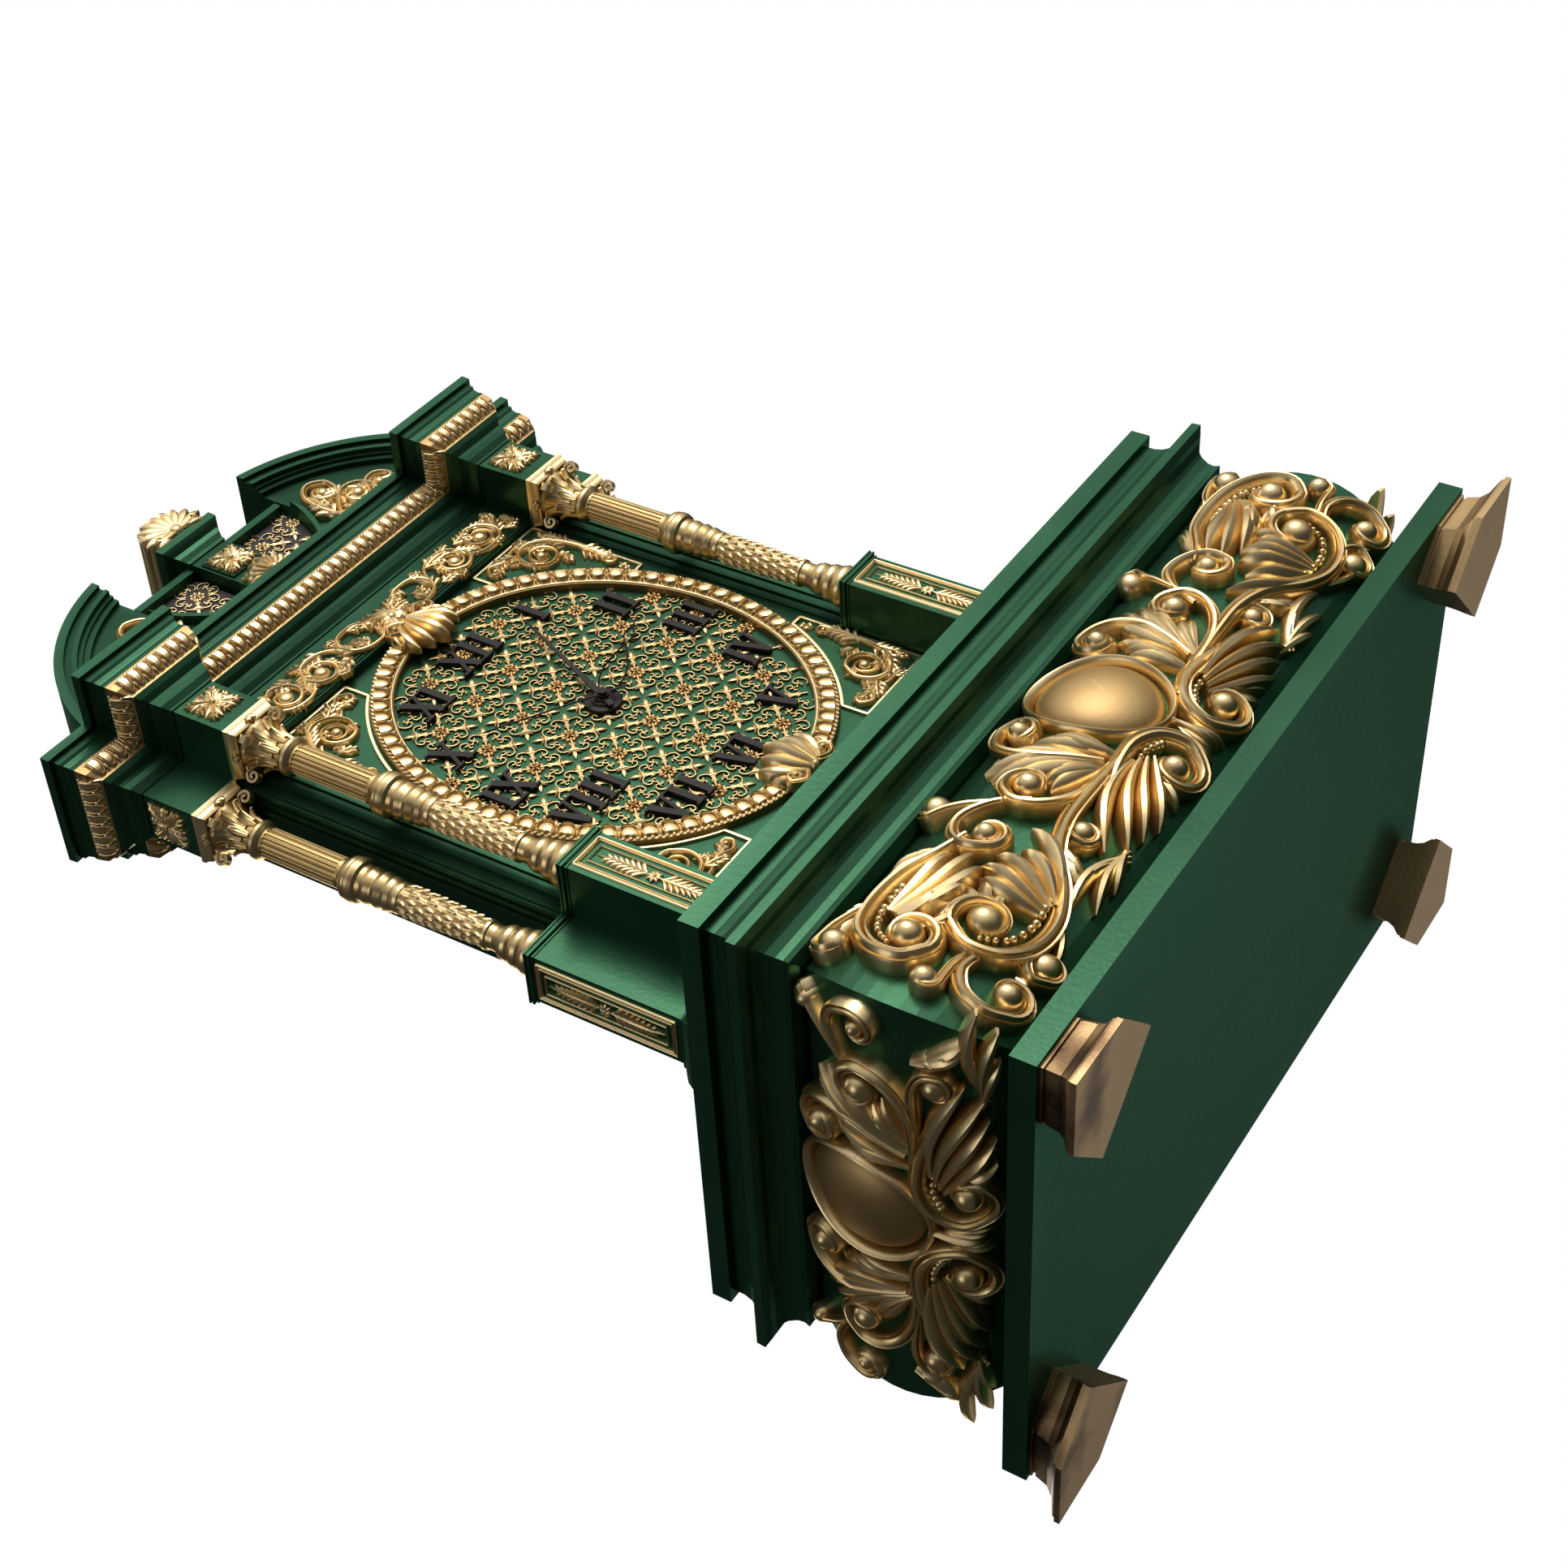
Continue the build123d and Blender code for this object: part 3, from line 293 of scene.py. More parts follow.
    def leaf(self, p, ang, length, w, h, n=4, bend=0.0):
        """Acanthus leaf with lobes on both sides of a curving midrib."""
        q, steps = p, 4 * n
        a, da = radians(ang), radians(bend) / steps
        side = max(w * 0.56, 0.7 * length / n)
        for i in range(steps):
            t = i / steps
            if i % 4 == 1:
                for s in (-1, 1):
                    reach = w * (1.05 - 0.42 * t) + 0.12 * length
                    b = a + radians(s * (48 - 24 * t))
                    self.lobe(q, (q[0] + cos(b) * reach, q[1] + sin(b) * reach), -s * 0.16,
                        side * (1 - 0.3 * t), h * (0.9 - 0.08 * t), steps=5)
            q = (q[0] + cos(a) * length * 0.72 / steps, q[1] + sin(a) * length * 0.72 / steps)
            a += da
        self.finger(p, ang, length, w * 0.5, h * 1.06, bend, LOBE)

    def scroll(self, pts, eye, turn, w, h, turns=1.0, ball=0.44):
        """Band that follows pts, then winds into its eye; turn is +1 for anticlockwise."""
        path = smooth(pts)
        r0 = hypot(path[-1][0] - eye[0], path[-1][1] - eye[1])
        a0 = atan2(path[-1][1] - eye[1], path[-1][0] - eye[0])
        n = int(22 * turns)
        for i in range(1, n + 1):
            t = i / n
            r = r0 * (1 - t) ** 1.1 + r0 * 0.40 * t
            a = a0 + turn * 2 * pi * turns * t
            path.append((eye[0] + r * cos(a), eye[1] + r * sin(a)))
        self.band(path, [w * 0.6, w, w, w, w * 0.78, w * 0.3], [h * 0.75, h * 0.95, h, h, h * 0.92, h * 0.6],
            MOULD)
        self.ball(eye[0], eye[1], r0 * ball * 1.12, h * 0.86, h * 0.36, 18, 7)

    def pearls(self, pts, n, r0, r1, lift=0.0):
        """Row of n domes along pts that shrink or grow from r0 to r1."""
        path = smooth(pts, 12)
        for i in range(n):
            p = path[round(i * (len(path) - 1) / (n - 1))]
            r = r0 + (r1 - r0) * i / (n - 1)
            self.ball(p[0], p[1], r, r * 1.3, lift, 8, 4)

    def build(self, name, body="case", slot="gilt", mat=None, replaces=()):
        """Make the object, shade it smooth up to SHARP degrees, tie it to its body and hide the CAD nodes it
        replaces.
        """
        me = bpy.data.meshes.new(name)
        me.from_pydata([tuple(c * 0.001 for c in p) for p in self.verts], [], self.faces)
        me.validate()
        bm = bmesh.new()
        bm.from_mesh(me)
        bmesh.ops.recalc_face_normals(bm, faces=bm.faces)
        bm.to_mesh(me)
        bm.free()
        me.polygons.foreach_set("use_smooth", [True] * len(me.polygons))
        me.set_sharp_from_angle(angle=radians(SHARP))
        ob = bpy.data.objects.new(name, me)
        bpy.context.collection.objects.link(ob)
        me.materials.append(mat or GOLD)
        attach(ob, body)
        if replaces:
            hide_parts(*replaces)


def flip(p):
    """Point with u negated."""
    return (-p[0], p[1])


class Mirror:
    """Draws every call on a relief twice, the second time with u negated."""

    def __init__(self, relief):
        self.relief = relief

    def ball(self, u, v, *a, **k):
        self.relief.ball(u, v, *a, **k)
        self.relief.ball(-u, v, *a, **k)

    def finger(self, p, ang, length, w, h):
        self.relief.finger(p, ang, length, w, h)
        self.relief.finger(flip(p), 180 - ang, length, w, h)

    def fan(self, root, tips, bow, w, h, lift=0.0, root2=None):
        bow2 = [-b for b in bow] if isinstance(bow, (list, tuple)) else -bow
        self.relief.fan(root, tips, bow, w, h, lift, root2)
        self.relief.fan(flip(root), [flip(p) for p in tips], bow2, w, h, lift, root2 and flip(root2))

    def lobe(self, p, tip, bow, *a):
        self.relief.lobe(p, tip, bow, *a)
        self.relief.lobe(flip(p), flip(tip), -bow, *a)

    def leaf(self, p, ang, length, w, h, n, bend):
        self.relief.leaf(p, ang, length, w, h, n, bend)
        self.relief.leaf(flip(p), 180 - ang, length, w, h, n, -bend)

    def scroll(self, pts, eye, turn, *a, **k):
        self.relief.scroll(pts, eye, turn, *a, **k)
        self.relief.scroll([flip(p) for p in pts], flip(eye), -turn, *a, **k)

    def pearls(self, pts, *a):
        self.relief.pearls(pts, *a)
        self.relief.pearls([flip(p) for p in pts], *a)


def mm(node):
    """Low and high corner of a CAD node in millimetres."""
    lo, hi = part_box(node)
    return [c * 1000 for c in lo], [c * 1000 for c in hi]


def flat(y):
    """Place function of a plane that faces the front at y."""
    return lambda u, v, h: (u, y - h, v)


# -------------------- base mounts, bent over the convex block
block_lo, block_hi = mm("base_block")
BULGE_R, BULGE_Z = 71.6, 78.3  # radius and centre height of the block's convex faces
FRONT_C, SIDE_C = -block_lo[1] - BULGE_R, block_hi[0] - BULGE_R
BOSS_Z = 11.5  # height of the oval boss above the middle of the bulge
BOSS_RU, BOSS_RV, BOSS_H = 21.4, 26.2, 8.6


def over_front(u, v, h):
    """Place function of the front bulge: v runs up along its curve."""
    return (u, -(FRONT_C + (BULGE_R + h) * cos(v / BULGE_R)), BULGE_Z + (BULGE_R + h) * sin(v / BULGE_R))


def over_side(sx):
    """The same for the left (-1) or right (1) bulge."""
    return lambda u, v, h: (sx * (SIDE_C + (BULGE_R + h) * cos(v / BULGE_R)), sx * u,
        BULGE_Z + (BULGE_R + h) * sin(v / BULGE_R))


def inner_mount(relief, both):
    """Ring round the oval boss, flanking scrolls and leaves shared by all three mounts."""
    ring = [(24.0 * cos(t * pi / 24), BOSS_Z + 28.6 * sin(t * pi / 24)) for t in range(49)]
    relief.band(ring, 3.6, 6.2, ROUND)
    both.scroll([(60, -19.6), (48, -15.8), (36, -13.0), (22, -12.6), (11.5, -18.0), (7.6, -28.0),
        (12.6, -36.0)], (21.6, -29.6), 1, 7.0, 8.0, turns=0.82, ball=0.46)
    both.fan((30, -16.5), [(76, -28.0), (70, -34.6), (61, -36.4), (52, -38.8)], [0.2, 0.15, 0.08, 0.0],
        [7.4, 7.0, 7.0, 6.6], 9.2, 0.2, root2=(22.5, -21.5))
    both.fan((26.5, -24), [(45.5, -38.6), (36.5, -39.4)], [0.1, -0.06], 7.4, 6.6)
    both.pearls([(14.5, -20.5), (22, -17.6), (32, -18.0)], 7, 1.8, 1.1, 4.2)
    both.scroll([(34, -11.0), (52, -10.2), (64, -6.0), (71.5, 1.5), (73.0, 9.6), (68.5, 15.4)], (62.0, 9.0),
        1, 6.0, 7.8, turns=0.8, ball=0.56)
    both.scroll([(37, -8), (42, 3), (46.2, 14), (46.2, 25), (41, 32.8), (32.5, 35.2), (26, 31)],
        (32.4, 27.4), 1, 6.0, 8.4, turns=0.8, ball=0.6)
    both.fan((30, -11), [(27.6, 12.6), (31.4, 15.6), (36.4, 21.0)], [-0.1, -0.06, 0.02], 7.2, 6.8)
    both.fan((38, -9), [(50, 30.0), (57.0, 29.8), (61.4, 24.6), (62.6, 18.0)], [0.14, 0.14, 0.12, 0.1], 8.0,
        7.0, 0.2)
    both.fan((40, -10), [(52.0, 4.6), (57.0, 5.0), (60.0, 1.4)], [0.16, 0.12, 0.1], 7.2, 6.4)
    both.scroll([(46, -11.6), (58, -11.0), (70, -10.6), (78.4, -14.2), (79.4, -20.4)], (73.8, -18.2), -1,
        4.8, 6.6, turns=0.8, ball=0.75)
    both.fan((83, -10), [(97.4, -28.4), (93.0, -28.2), (87.6, -22.0)], [-0.16, -0.1, -0.04], 7.2, 6.0)
    both.fan((66, -33.6), [(88, -39.6), (101, -38.6), (110.0, -31.6), (97.4, -28.6)], [0.1, 0.18, 0.26, 0.2],
        6.6, 6.2, root2=(72, -37.4))
    relief.fan((0, -20), [(-5.6, -39.4), (-2.6, -37.6), (2.6, -37.6), (5.6, -39.4)],
        [-0.16, -0.1, 0.1, 0.16], 3.6, 6.6)
    relief.lobe((0, -16), (0, -36), 0, 4.4, 7.6)


def outer_mount(both):
    """Long scrolls towards the ends of the front mount."""
    both.scroll([(13, -14), (34, -12.0), (55, -11.0), (74, -11.4), (90, -16.0), (104, -25.0), (119, -30.2),
        (134, -29.0), (145, -21.4), (147.8, -10.4), (141.4, -1.6)], (133.8, -11.2), 1, 7.0, 8.4, turns=0.82,
        ball=0.5)
    both.pearls([(112, -23.4), (124, -24.6), (136, -21.0), (141.6, -13.0)], 11, 1.95, 1.15, 4.2)
    both.fan((119, -23.5), [(116.4, 0.6), (109.6, 2.6), (102.4, 0.6), (95.4, -5.4), (83.0, -3.0)],
        [-0.14, -0.04, 0.06, 0.14, 0.2], 7.6, 9.8, 0.2, root2=(110, -26.5))
    both.fan((127.4, -10), [(122.0, 3.6), (116.0, -2.0), (118.0, -10.4)], [-0.24, -0.16, -0.1], 6.8, 7.0)
    both.scroll([(69, 4), (76, 15.6), (87, 22.6), (97.0, 20.6), (102.6, 12.8), (100.0, 4.0)], (93.6, 9.4),
        -1, 6.0, 7.6, turns=0.8, ball=0.54)
    both.scroll([(74, 12), (78.6, 22), (83.0, 31), (87.6, 36.6), (84.6, 41.2)], (80.6, 37.2), 1, 4.8, 7.6,
        turns=0.55, ball=0.95)
    both.scroll([(96, 15.6), (108, 19.6), (122, 26.0), (138, 28.4), (154, 25.6), (164, 16.2), (165.4, 4.6),
        (157.4, -2.6)], (153.0, 7.8), -1, 7.0, 8.6, turns=0.82, ball=0.5)
    both.pearls([(130, 22.2), (143, 22.4), (153, 19.2), (158.6, 12.6)], 11, 1.95, 1.15, 4.2)
    both.fan((144, 20.4), [(107, 15.4), (104.4, 8.0), (110.0, 2.2), (119.0, 2.6), (128.6, 7.6)],
        [0.02, 0.1, 0.18, 0.18, 0.12], 7.8, 9.8, 0.2, root2=(146, 14))
    both.fan((148.6, 11), [(139.4, -1.0), (134.0, -0.6), (130.0, 3.0)], [0.26, 0.24, 0.2], 6.2, 6.8,
        root2=(149, 6))
    both.fan((104, 18.4), [(126, 33.6), (120.6, 33.8), (114.0, 30.0)], [0.1, 0.12, 0.12], 6.2, 6.0)
    both.fan((138, 30.4), [(158, 33.2), (152.0, 35.6), (145.4, 35.6)], [0.08, 0.14, 0.2], 5.9, 5.6)
    both.scroll([(146, -17), (157, -14.4), (166, -19.0), (168.4, -28.5), (163.6, -37.0)], (156.4, -32.0), -1,
        6.2, 7.6, turns=0.8, ball=0.56)
    both.scroll([(148, -13), (158, -11.4), (167.4, -11.4)], (168.4, -6.4), 1, 4.4, 7.0, turns=0.55, ball=0.9)
    both.scroll([(116, -29), (126, -31.4), (138, -29.0), (144.4, -33.6), (141.0, -40.0)], (135.4, -36.4), -1,
        4.8, 7.0, turns=0.7, ball=0.8)
    both.scroll([(140, 30), (154, 36.0), (165, 37.6)], (162.6, 31.8), -1, 5.0, 7.8, turns=0.6, ball=0.85)
    both.lobe((112, -30), (134, -38.6), -0.1, 5.2, 5.6)
    both.fan((146, -30), [(153.0, -39.4), (148.4, -36.4)], -0.1, 5.4, 5.0)


boss = Relief(over_front)
for bulge in (over_front, over_side(-1), over_side(1)):
    boss.place = bulge
    boss.ball(0, BOSS_Z, BOSS_RV, BOSS_H, 0.0, 48, 14, ru=BOSS_RU)
boss.build("base_cabochons", mat=SATIN)
mount = Relief(over_front)
inner_mount(mount, Mirror(mount))
outer_mount(Mirror(mount))
mount.build("base_scrollwork_front", replaces=("base_mount_front",))
for side, node in ((-1, "base_mount_left"), (1, "base_mount_right")):
    mount = Relief(over_side(side))
    both = Mirror(mount)
    inner_mount(mount, both)
    both.scroll([(66, 13.5), (76, 20), (85, 23), (93, 20), (97, 13)], (90.5, 10), -1, 5.2, 6.6, turns=0.95)
    both.scroll([(66, 13), (76, 22), (84, 31), (90, 37)], (86, 35), 1, 4.4, 6.4, turns=0.55, ball=0.8)
    mount.build("base_scrollwork_" + node.removeprefix("base_mount_"), replaces=(node,))

# -------------------- entablature, round the break-front plan
X_IN, X_MID, X_OUT = 97.25, 121.75, 148.85  # inner, middle and outer edges of the frieze blocks
Y_FRONT, Y_SIDE, Y_BACK = 38.8, 12.25, 31.4  # distances of the block fronts, side blocks and rear face
EGG_OFFSET, RECESS_Y = 9.0, -16.5  # band's foot outside the frieze, face between the blocks
EGG_TOP, EGG_PITCH, BEAD_PITCH = 491.0, 6.2, 2.0
BAND_SLOPE = [(482.5, -0.4), (483.5, 0.0), (485.1, 1.2), (487.7, 3.3), (490.6, 3.8), (492.3, 4.0),
    (493.6, 4.1)]


def run_segments(offset, mid_y):
    """Front and side faces of the break-front plan at an offset: start, end, length, outward normal."""
    pts = [(-X_MID - offset, Y_BACK + offset), (-X_MID - offset, Y_SIDE + offset),
        (-X_OUT - offset, Y_SIDE + offset), (-X_OUT - offset, -Y_SIDE - offset),
        (-X_MID - offset, -Y_SIDE - offset), (-X_MID - offset, -Y_FRONT - offset),
        (-X_IN + offset, -Y_FRONT - offset), (-X_IN + offset, mid_y - offset)]
    pts += [(-x, y) for x, y in reversed(pts)]
    for a, b in zip(pts, pts[1:]):
        length = hypot(b[0] - a[0], b[1] - a[1])
        if length > 3:
            yield a, b, length, ((b[1] - a[1]) / length, -(b[0] - a[0]) / length)


def course_place(a, b, length, normal, slope):
    """Surface of one straight run: u along it, v = height z, h outwards from a sloping face."""
    d = ((b[0] - a[0]) / length, (b[1] - a[1]) / length)

    def place(u, v, h):
        k = lerp_table(slope, v) + h
        return (a[0] + d[0] * u + normal[0] * k, a[1] + d[1] * u + normal[1] * k, v)
    return place


def egg(relief, u, step):
    """Flat tongue in a raised U-shaped rim."""
    relief.band([(u, EGG_TOP), (u, 488.4), (u, 486.6), (u, 485.6), (u, 485.0)],
        [step * 0.54, step * 0.56, step * 0.5, step * 0.34, step * 0.1], [1.2, 1.3, 1.2, 1.0, 0.6], FLAT)
    rim = [(u - step * 0.37, EGG_TOP), (u - step * 0.37, 487.6), (u - step * 0.27, 485.0), (u, 483.7),
        (u + step * 0.27, 485.0), (u + step * 0.37, 487.6), (u + step * 0.37, EGG_TOP)]
    relief.band(smooth(rim, 3), step * 0.12, 1.6, ROUND)


eggs = Relief(None)
for start, end, length, normal in run_segments(EGG_OFFSET, RECESS_Y):
    eggs.place = course_place(start, end, length, normal, BAND_SLOPE)
    count = max(round(length / EGG_PITCH), 1)
    step = length / count
    for i in range(count):
        egg(eggs, (i + 0.5) * step, step)
        eggs.finger(((i + 1) * step, 486.6), -90, 3.2, step * 0.2, 1.4)
    beads = max(round(length / BEAD_PITCH), 2)
    for i in range(beads):
        u = (i + 0.5) * length / beads
        eggs.band([(u - 0.75, 491.3), (u, 492.1), (u + 0.75, 492.9)], [0.7, 1.2, 0.7], [0.5, 0.9, 0.5],
            ROUND)
eggs.build("egg_and_dart")

# -------------------- bezel: oval ring with egg-and-dart and rope
RING_PROFILE = [(10.5, -0.9), (10.5, 1.4), (10.1, 2.3), (9.1, 2.6), (8.3, 2.4), (7.9, 2.6), (7.1, 2.9),
    (5.0, 3.2), (3.2, 2.8), (2.2, 2.4), (1.4, 2.2), (0.6, 2.0), (0.2, 1.8), (0.0, 1.0), (0.0, -1.0)]
RING_STEPS, RING_EGGS, RING_ROPE = 144, 72, 210
RING_SWELL = 1.45  # factor on the heights of RING_PROFILE
RING_GROUND = 4.2  # height of the channel that the eggs lie in
RING_RADIUS = 93.0  # mean radius that turns a length along the ring into an angle
CLASP_RISE = 103.5  # height of each clasp above or below the dial's centre


def oval(k, h):
    """Ring at k outside the bezel's inner edge, as a function of the angle from twelve."""
    return lambda t: ((DIAL_A + k) * sin(t), DIAL_Z + (DIAL_B + k * 1.1) * cos(t), h)


def oval_place(t):
    """Frame on the ring at angle t: u runs along it, v outwards from the inner edge."""
    def place(u, v, h):
        x, z, _ = oval(v, 0)(t + u / RING_RADIUS)
        return (x, PANEL_FACE - RING_GROUND - h, z)
    return place


channel = Relief(lambda u, v, h: (u, PANEL_FACE - h * RING_SWELL, v))
channel.hoop([[oval(k, h)(2 * pi * i / RING_STEPS) for k, h in RING_PROFILE] for i in range(RING_STEPS)])
bezel = Relief(None)
for i in range(RING_EGGS):
    bezel.place = oval_place(2 * pi * (i + 0.5) / RING_EGGS)
    bezel.band([(0, 8.3), (0, 6.4), (0, 4.8), (0, 3.7), (0, 3.0), (0, 2.7)], [5.3, 5.5, 5.3, 4.2, 2.4, 0.6],
        [1.2, 1.35, 1.3, 1.1, 0.9, 0.5], SOFT)
    bezel.band(smooth([(-3.3, 8.2), (-3.3, 5.2), (-2.4, 3.0), (0, 2.0), (2.4, 3.0), (3.3, 5.2), (3.3, 8.2)],
        3), 0.9, 1.7, ROUND)
    bezel.finger((4.05, 4.6), -90, 2.8, 1.1, 1.3)
    for k in range(3):
        a = (k - 1) * 2.7
        bezel.band([(a - 1.4, 1.1), (a + 1.4, 1.1)], 1.1, 0.5, ROUND, lift=-1.1, sink=-2.2)
for i in range(RING_ROPE):
    bezel.place = oval_place(2 * pi * (i + 0.5) / RING_ROPE)
    bezel.band([(-0.7, 8.4), (0, 9.2), (0.7, 10.0)], [0.8, 1.5, 0.8], [-0.1, 0.5, -0.1], ROUND, sink=-1.6)
# The bezel's channel takes the gilt painted darker as shade.
channel.build("bezel_channel", mat=SHADED_GILT, replaces=("bezel",))
bezel.build("bezel_ornament")

clasp = Relief(flat(CLASP_FACE))
both = Mirror(clasp)
for s in (-1, 1):
    zc = DIAL_Z + s * CLASP_RISE
    for k in (2, -2, 1, -1, 0):
        clasp.lobe((k * 1.8, zc + s * 6.6), (k * 7.0, zc - s * (19.0 - abs(k) * 3.2)), k * 0.12 * s,
            8.2 - 0.8 * abs(k), 7.4 - 1.3 * abs(k), 0.6)
    for k in (-3, 3):
        clasp.lobe((k * 2.2, zc + s * 5.0), (k * 5.6, zc - s * 4.0), k * 0.1 * s, 4.6, 3.6, 0.4)
    both.scroll([(2.0, zc + s * 1.0), (5.4, zc + s * 6.4), (10.4, zc + s * 8.6), (14.6, zc + s * 5.4)],
        (11.0, zc + s * 4.2), -s, 3.2, 5.2, turns=0.9, ball=0.5)
    both.lobe((9, zc + s * 1.5), (17.5, zc - s * 6.0), -0.2 * s, 4.4, 4.2)
    clasp.ball(0, zc + s * 7.2, 3.2, 6.4)
clasp.build("bezel_leaf_clasps", replaces=("bezel_clasps",))

# -------------------- filigree of the dial and of the fret panels
DIAL_PITCH = 25.8  # spacing of the dial's flowers
FRET_PITCH, FRET_SCALE, FRET_Z = 23.1, 0.895, 527.3
FRET_IN, FRET_LOW, FRET_HIGH = 13.6, 508.9, 560.3  # edges of a fret opening


def filigree(relief, flower, cx, cz, s, clip):
    """One repeat: four-petal flower, diagonal fleurs-de-lis and a heart of scrolls on each side."""
    def at(a, b):
        return (cx + a * s, cz + b * s)

    if clip(cx, cz, 1.0):
        for k in range(4):
            a = radians(90 * k)
            c, d = cos(a), sin(a)
            for g in (-1.25, 1.25):
                flower.ball(*at(3.1 * c - g * d, 3.1 * d + g * c), 1.4 * s, 1.2, 0.0, 8, 3)
            flower.finger(at(0, 0), 90 * k, 3.8 * s, 1.4 * s, 1.5)
        flower.ball(cx, cz, 1.0 * s, 1.7, 0.3, 8, 3)
    for k in range(4):
        a = radians(45 + 90 * k)
        c, d = cos(a), sin(a)
        if clip(cx + 9 * s * c, cz + 9 * s * d, 3.0) and clip(cx + 16 * s * c, cz + 16 * s * d, 0.5):
            relief.band([at(2.2 * c, 2.2 * d), at(10.4 * c, 10.4 * d)], [0.7 * s, 1.0 * s], 1.1, FLAT)
            tie, half = 10.6, 1.7
            relief.band([at(tie * c - half * d, tie * d + half * c),
                at(tie * c + half * d, tie * d - half * c)], 1.0 * s, 1.3, FLAT)
            for off, length, width in ((0, 6.0, 2.2), (46, 4.0, 1.2), (-46, 4.0, 1.2)):
                relief.finger(at(10.8 * c, 10.8 * d), 45 + 90 * k + off, length * s, width * s, 1.35,
                    off * 0.9)
            for g in (-1, 1):
                relief.finger(at(5.2 * c, 5.2 * d), 45 + 90 * k + g * 50, 3.0 * s, 0.9 * s, 1.0, -g * 50)
        a = radians(90 * k)
        c, d = cos(a), sin(a)

        def turned(x, y):
            return at(x * c - y * d, x * d + y * c)

        if clip(*turned(9.0, 0), 4.2):
            for g in (-1, 1):
                heart = [(5.0, 3.4), (6.0, 5.4), (8.2, 6.4), (10.6, 5.6), (11.9, 3.6), (11.3, 1.6),
                    (9.7, 1.2), (9.0, 2.4), (9.8, 3.4)]
                curl = [(7.6, 0), (8.6, 0.9), (8.0, 2.6), (6.9, 2.4), (6.9, 1.5)]
                relief.band(smooth([turned(x, g * y) for x, y in heart], 2), 0.62 * s, 1.1, FLAT)
                relief.band(smooth([turned(x, g * y) for x, y in curl], 2), 0.55 * s, 1.0, FLAT)


def rib_edge(z, radius):
    """Distance from the middle plane to a concave rib of the given radius at height z."""
    return RIB_X + sqrt(max(radius ** 2 - (z - RIB_Z) ** 2, 0))


def in_dial(x, z, margin):
    return (x / (DIAL_A - margin)) ** 2 + ((z - DIAL_Z) / (DIAL_B - margin)) ** 2 < 1


def in_fret(x, z, margin):
    margin *= 0.12
    edge = rib_edge(z, RIB_R - 1.6 - margin)
    return FRET_IN + margin < abs(x) < edge and FRET_LOW + margin < z < FRET_HIGH - margin


dial, flowers = Relief(flat(DIAL_FACE)), Relief(flat(DIAL_FACE))
for i in range(-3, 4):
    for j in range(-4, 5):
        filigree(dial, flowers, i * DIAL_PITCH, DIAL_Z + j * DIAL_PITCH, 1.0, in_dial)
dial.build("dial_filigree", mat=FINE, replaces=("dial_lattice",))
flowers.build("dial_flowers", mat=COPPER)

fret = Relief(flat(FRET_FACE))
for i in (-2, -1, 1, 2):
    for j in (-1, 0, 1):
        x = copysign(0.5 + FRET_PITCH * abs(i), i)
        filigree(fret, fret, x, FRET_Z + j * FRET_PITCH, FRET_SCALE, in_fret)
fret.build("fret_filigree", replaces=("fret_panels",))

ground = Relief(flat(FRET_FACE))
GROUND_IN, GROUND_LOW, GROUND_HIGH = 13.5, 508.8, 560.4
for s in (-1, 1):
    rows = []
    for k in range(13):
        z = GROUND_HIGH - (GROUND_HIGH - GROUND_LOW) * k / 12
        x = s * rib_edge(z, RIB_R - 1.5)
        rows.append([(s * GROUND_IN, z, -0.3), (x, z, -0.3), (x, z, 0.06), (s * GROUND_IN, z, 0.06)])
    ground.shell(rows)
ground.build("fret_ground", slot="black", mat=GROUND)

# -------------------- spandrels
FRAME_X, FRAME_Z = 95.3, 108.2  # outer corner of a spandrel's frame, from the dial's centre
ARC_A, ARC_B = 97.2, 109.2  # half axes of its curved side
ARC_FROM, ARC_TO = 29.5, 66.2  # ends of that side in degrees from twelve
# Points, eye, turn, width, height, turns round the eye, size of the ball in it.
CURLS = [([(90.5, 62), (92.5, 74), (91.5, 86), (87, 97), (78, 101.5), (70, 98), (67.6, 90), (71.5, 82.5)],
          (76.8, 89.5), 1, 2.6, 3.4, 1.35, 0.3),
         ([(84, 104), (74, 105), (64, 102.5), (57, 105.5), (52.5, 102.5)],
          (55.6, 101.0), 1, 2.2, 2.8, 0.9, 0.44),
         ([(92, 72), (93.6, 64), (92.6, 57)], (90.6, 59.5), -1, 1.8, 2.6, 0.9, 0.44)]
# Root, angle, length, width, height, pairs of lobes, bend.
LEAVES = [((91.8, 84), 92, 17, 6.0, 3.0, 4, -18), ((90, 92), 128, 18, 6.0, 2.8, 4, 20),
    ((92, 78), -84, 19, 6.4, 3.2, 4, -14), ((72, 100), 160, 14, 5.4, 2.8, 3, -20),
    ((68, 90), -70, 8, 4.0, 2.4, 3, 30), ((91, 54), -100, 8.0, 3.0, 2.0, 2, 0),
    ((66, 103), 186, 12, 4.4, 2.4, 3, 20), ((86.5, 80), 200, 9, 4.4, 2.6, 3, 40),
    ((84, 100), 150, 11, 4.6, 2.8, 3, 40), ((80, 97), 260, 7, 3.6, 2.4, 2, 40),
    ((60, 100.4), -160, 9, 3.6, 2.4, 3, -20), ((70, 94), 130, 9, 3.8, 2.4, 3, 30),
    ((92.5, 67), -60, 8, 3.2, 2.4, 2, 30), ((82, 84), -40, 7, 3.4, 2.4, 2, -30),
    ((90, 98), 40, 7, 3.4, 2.4, 2, 30), ((76, 104), 20, 10, 3.4, 2.4, 3, 10)]


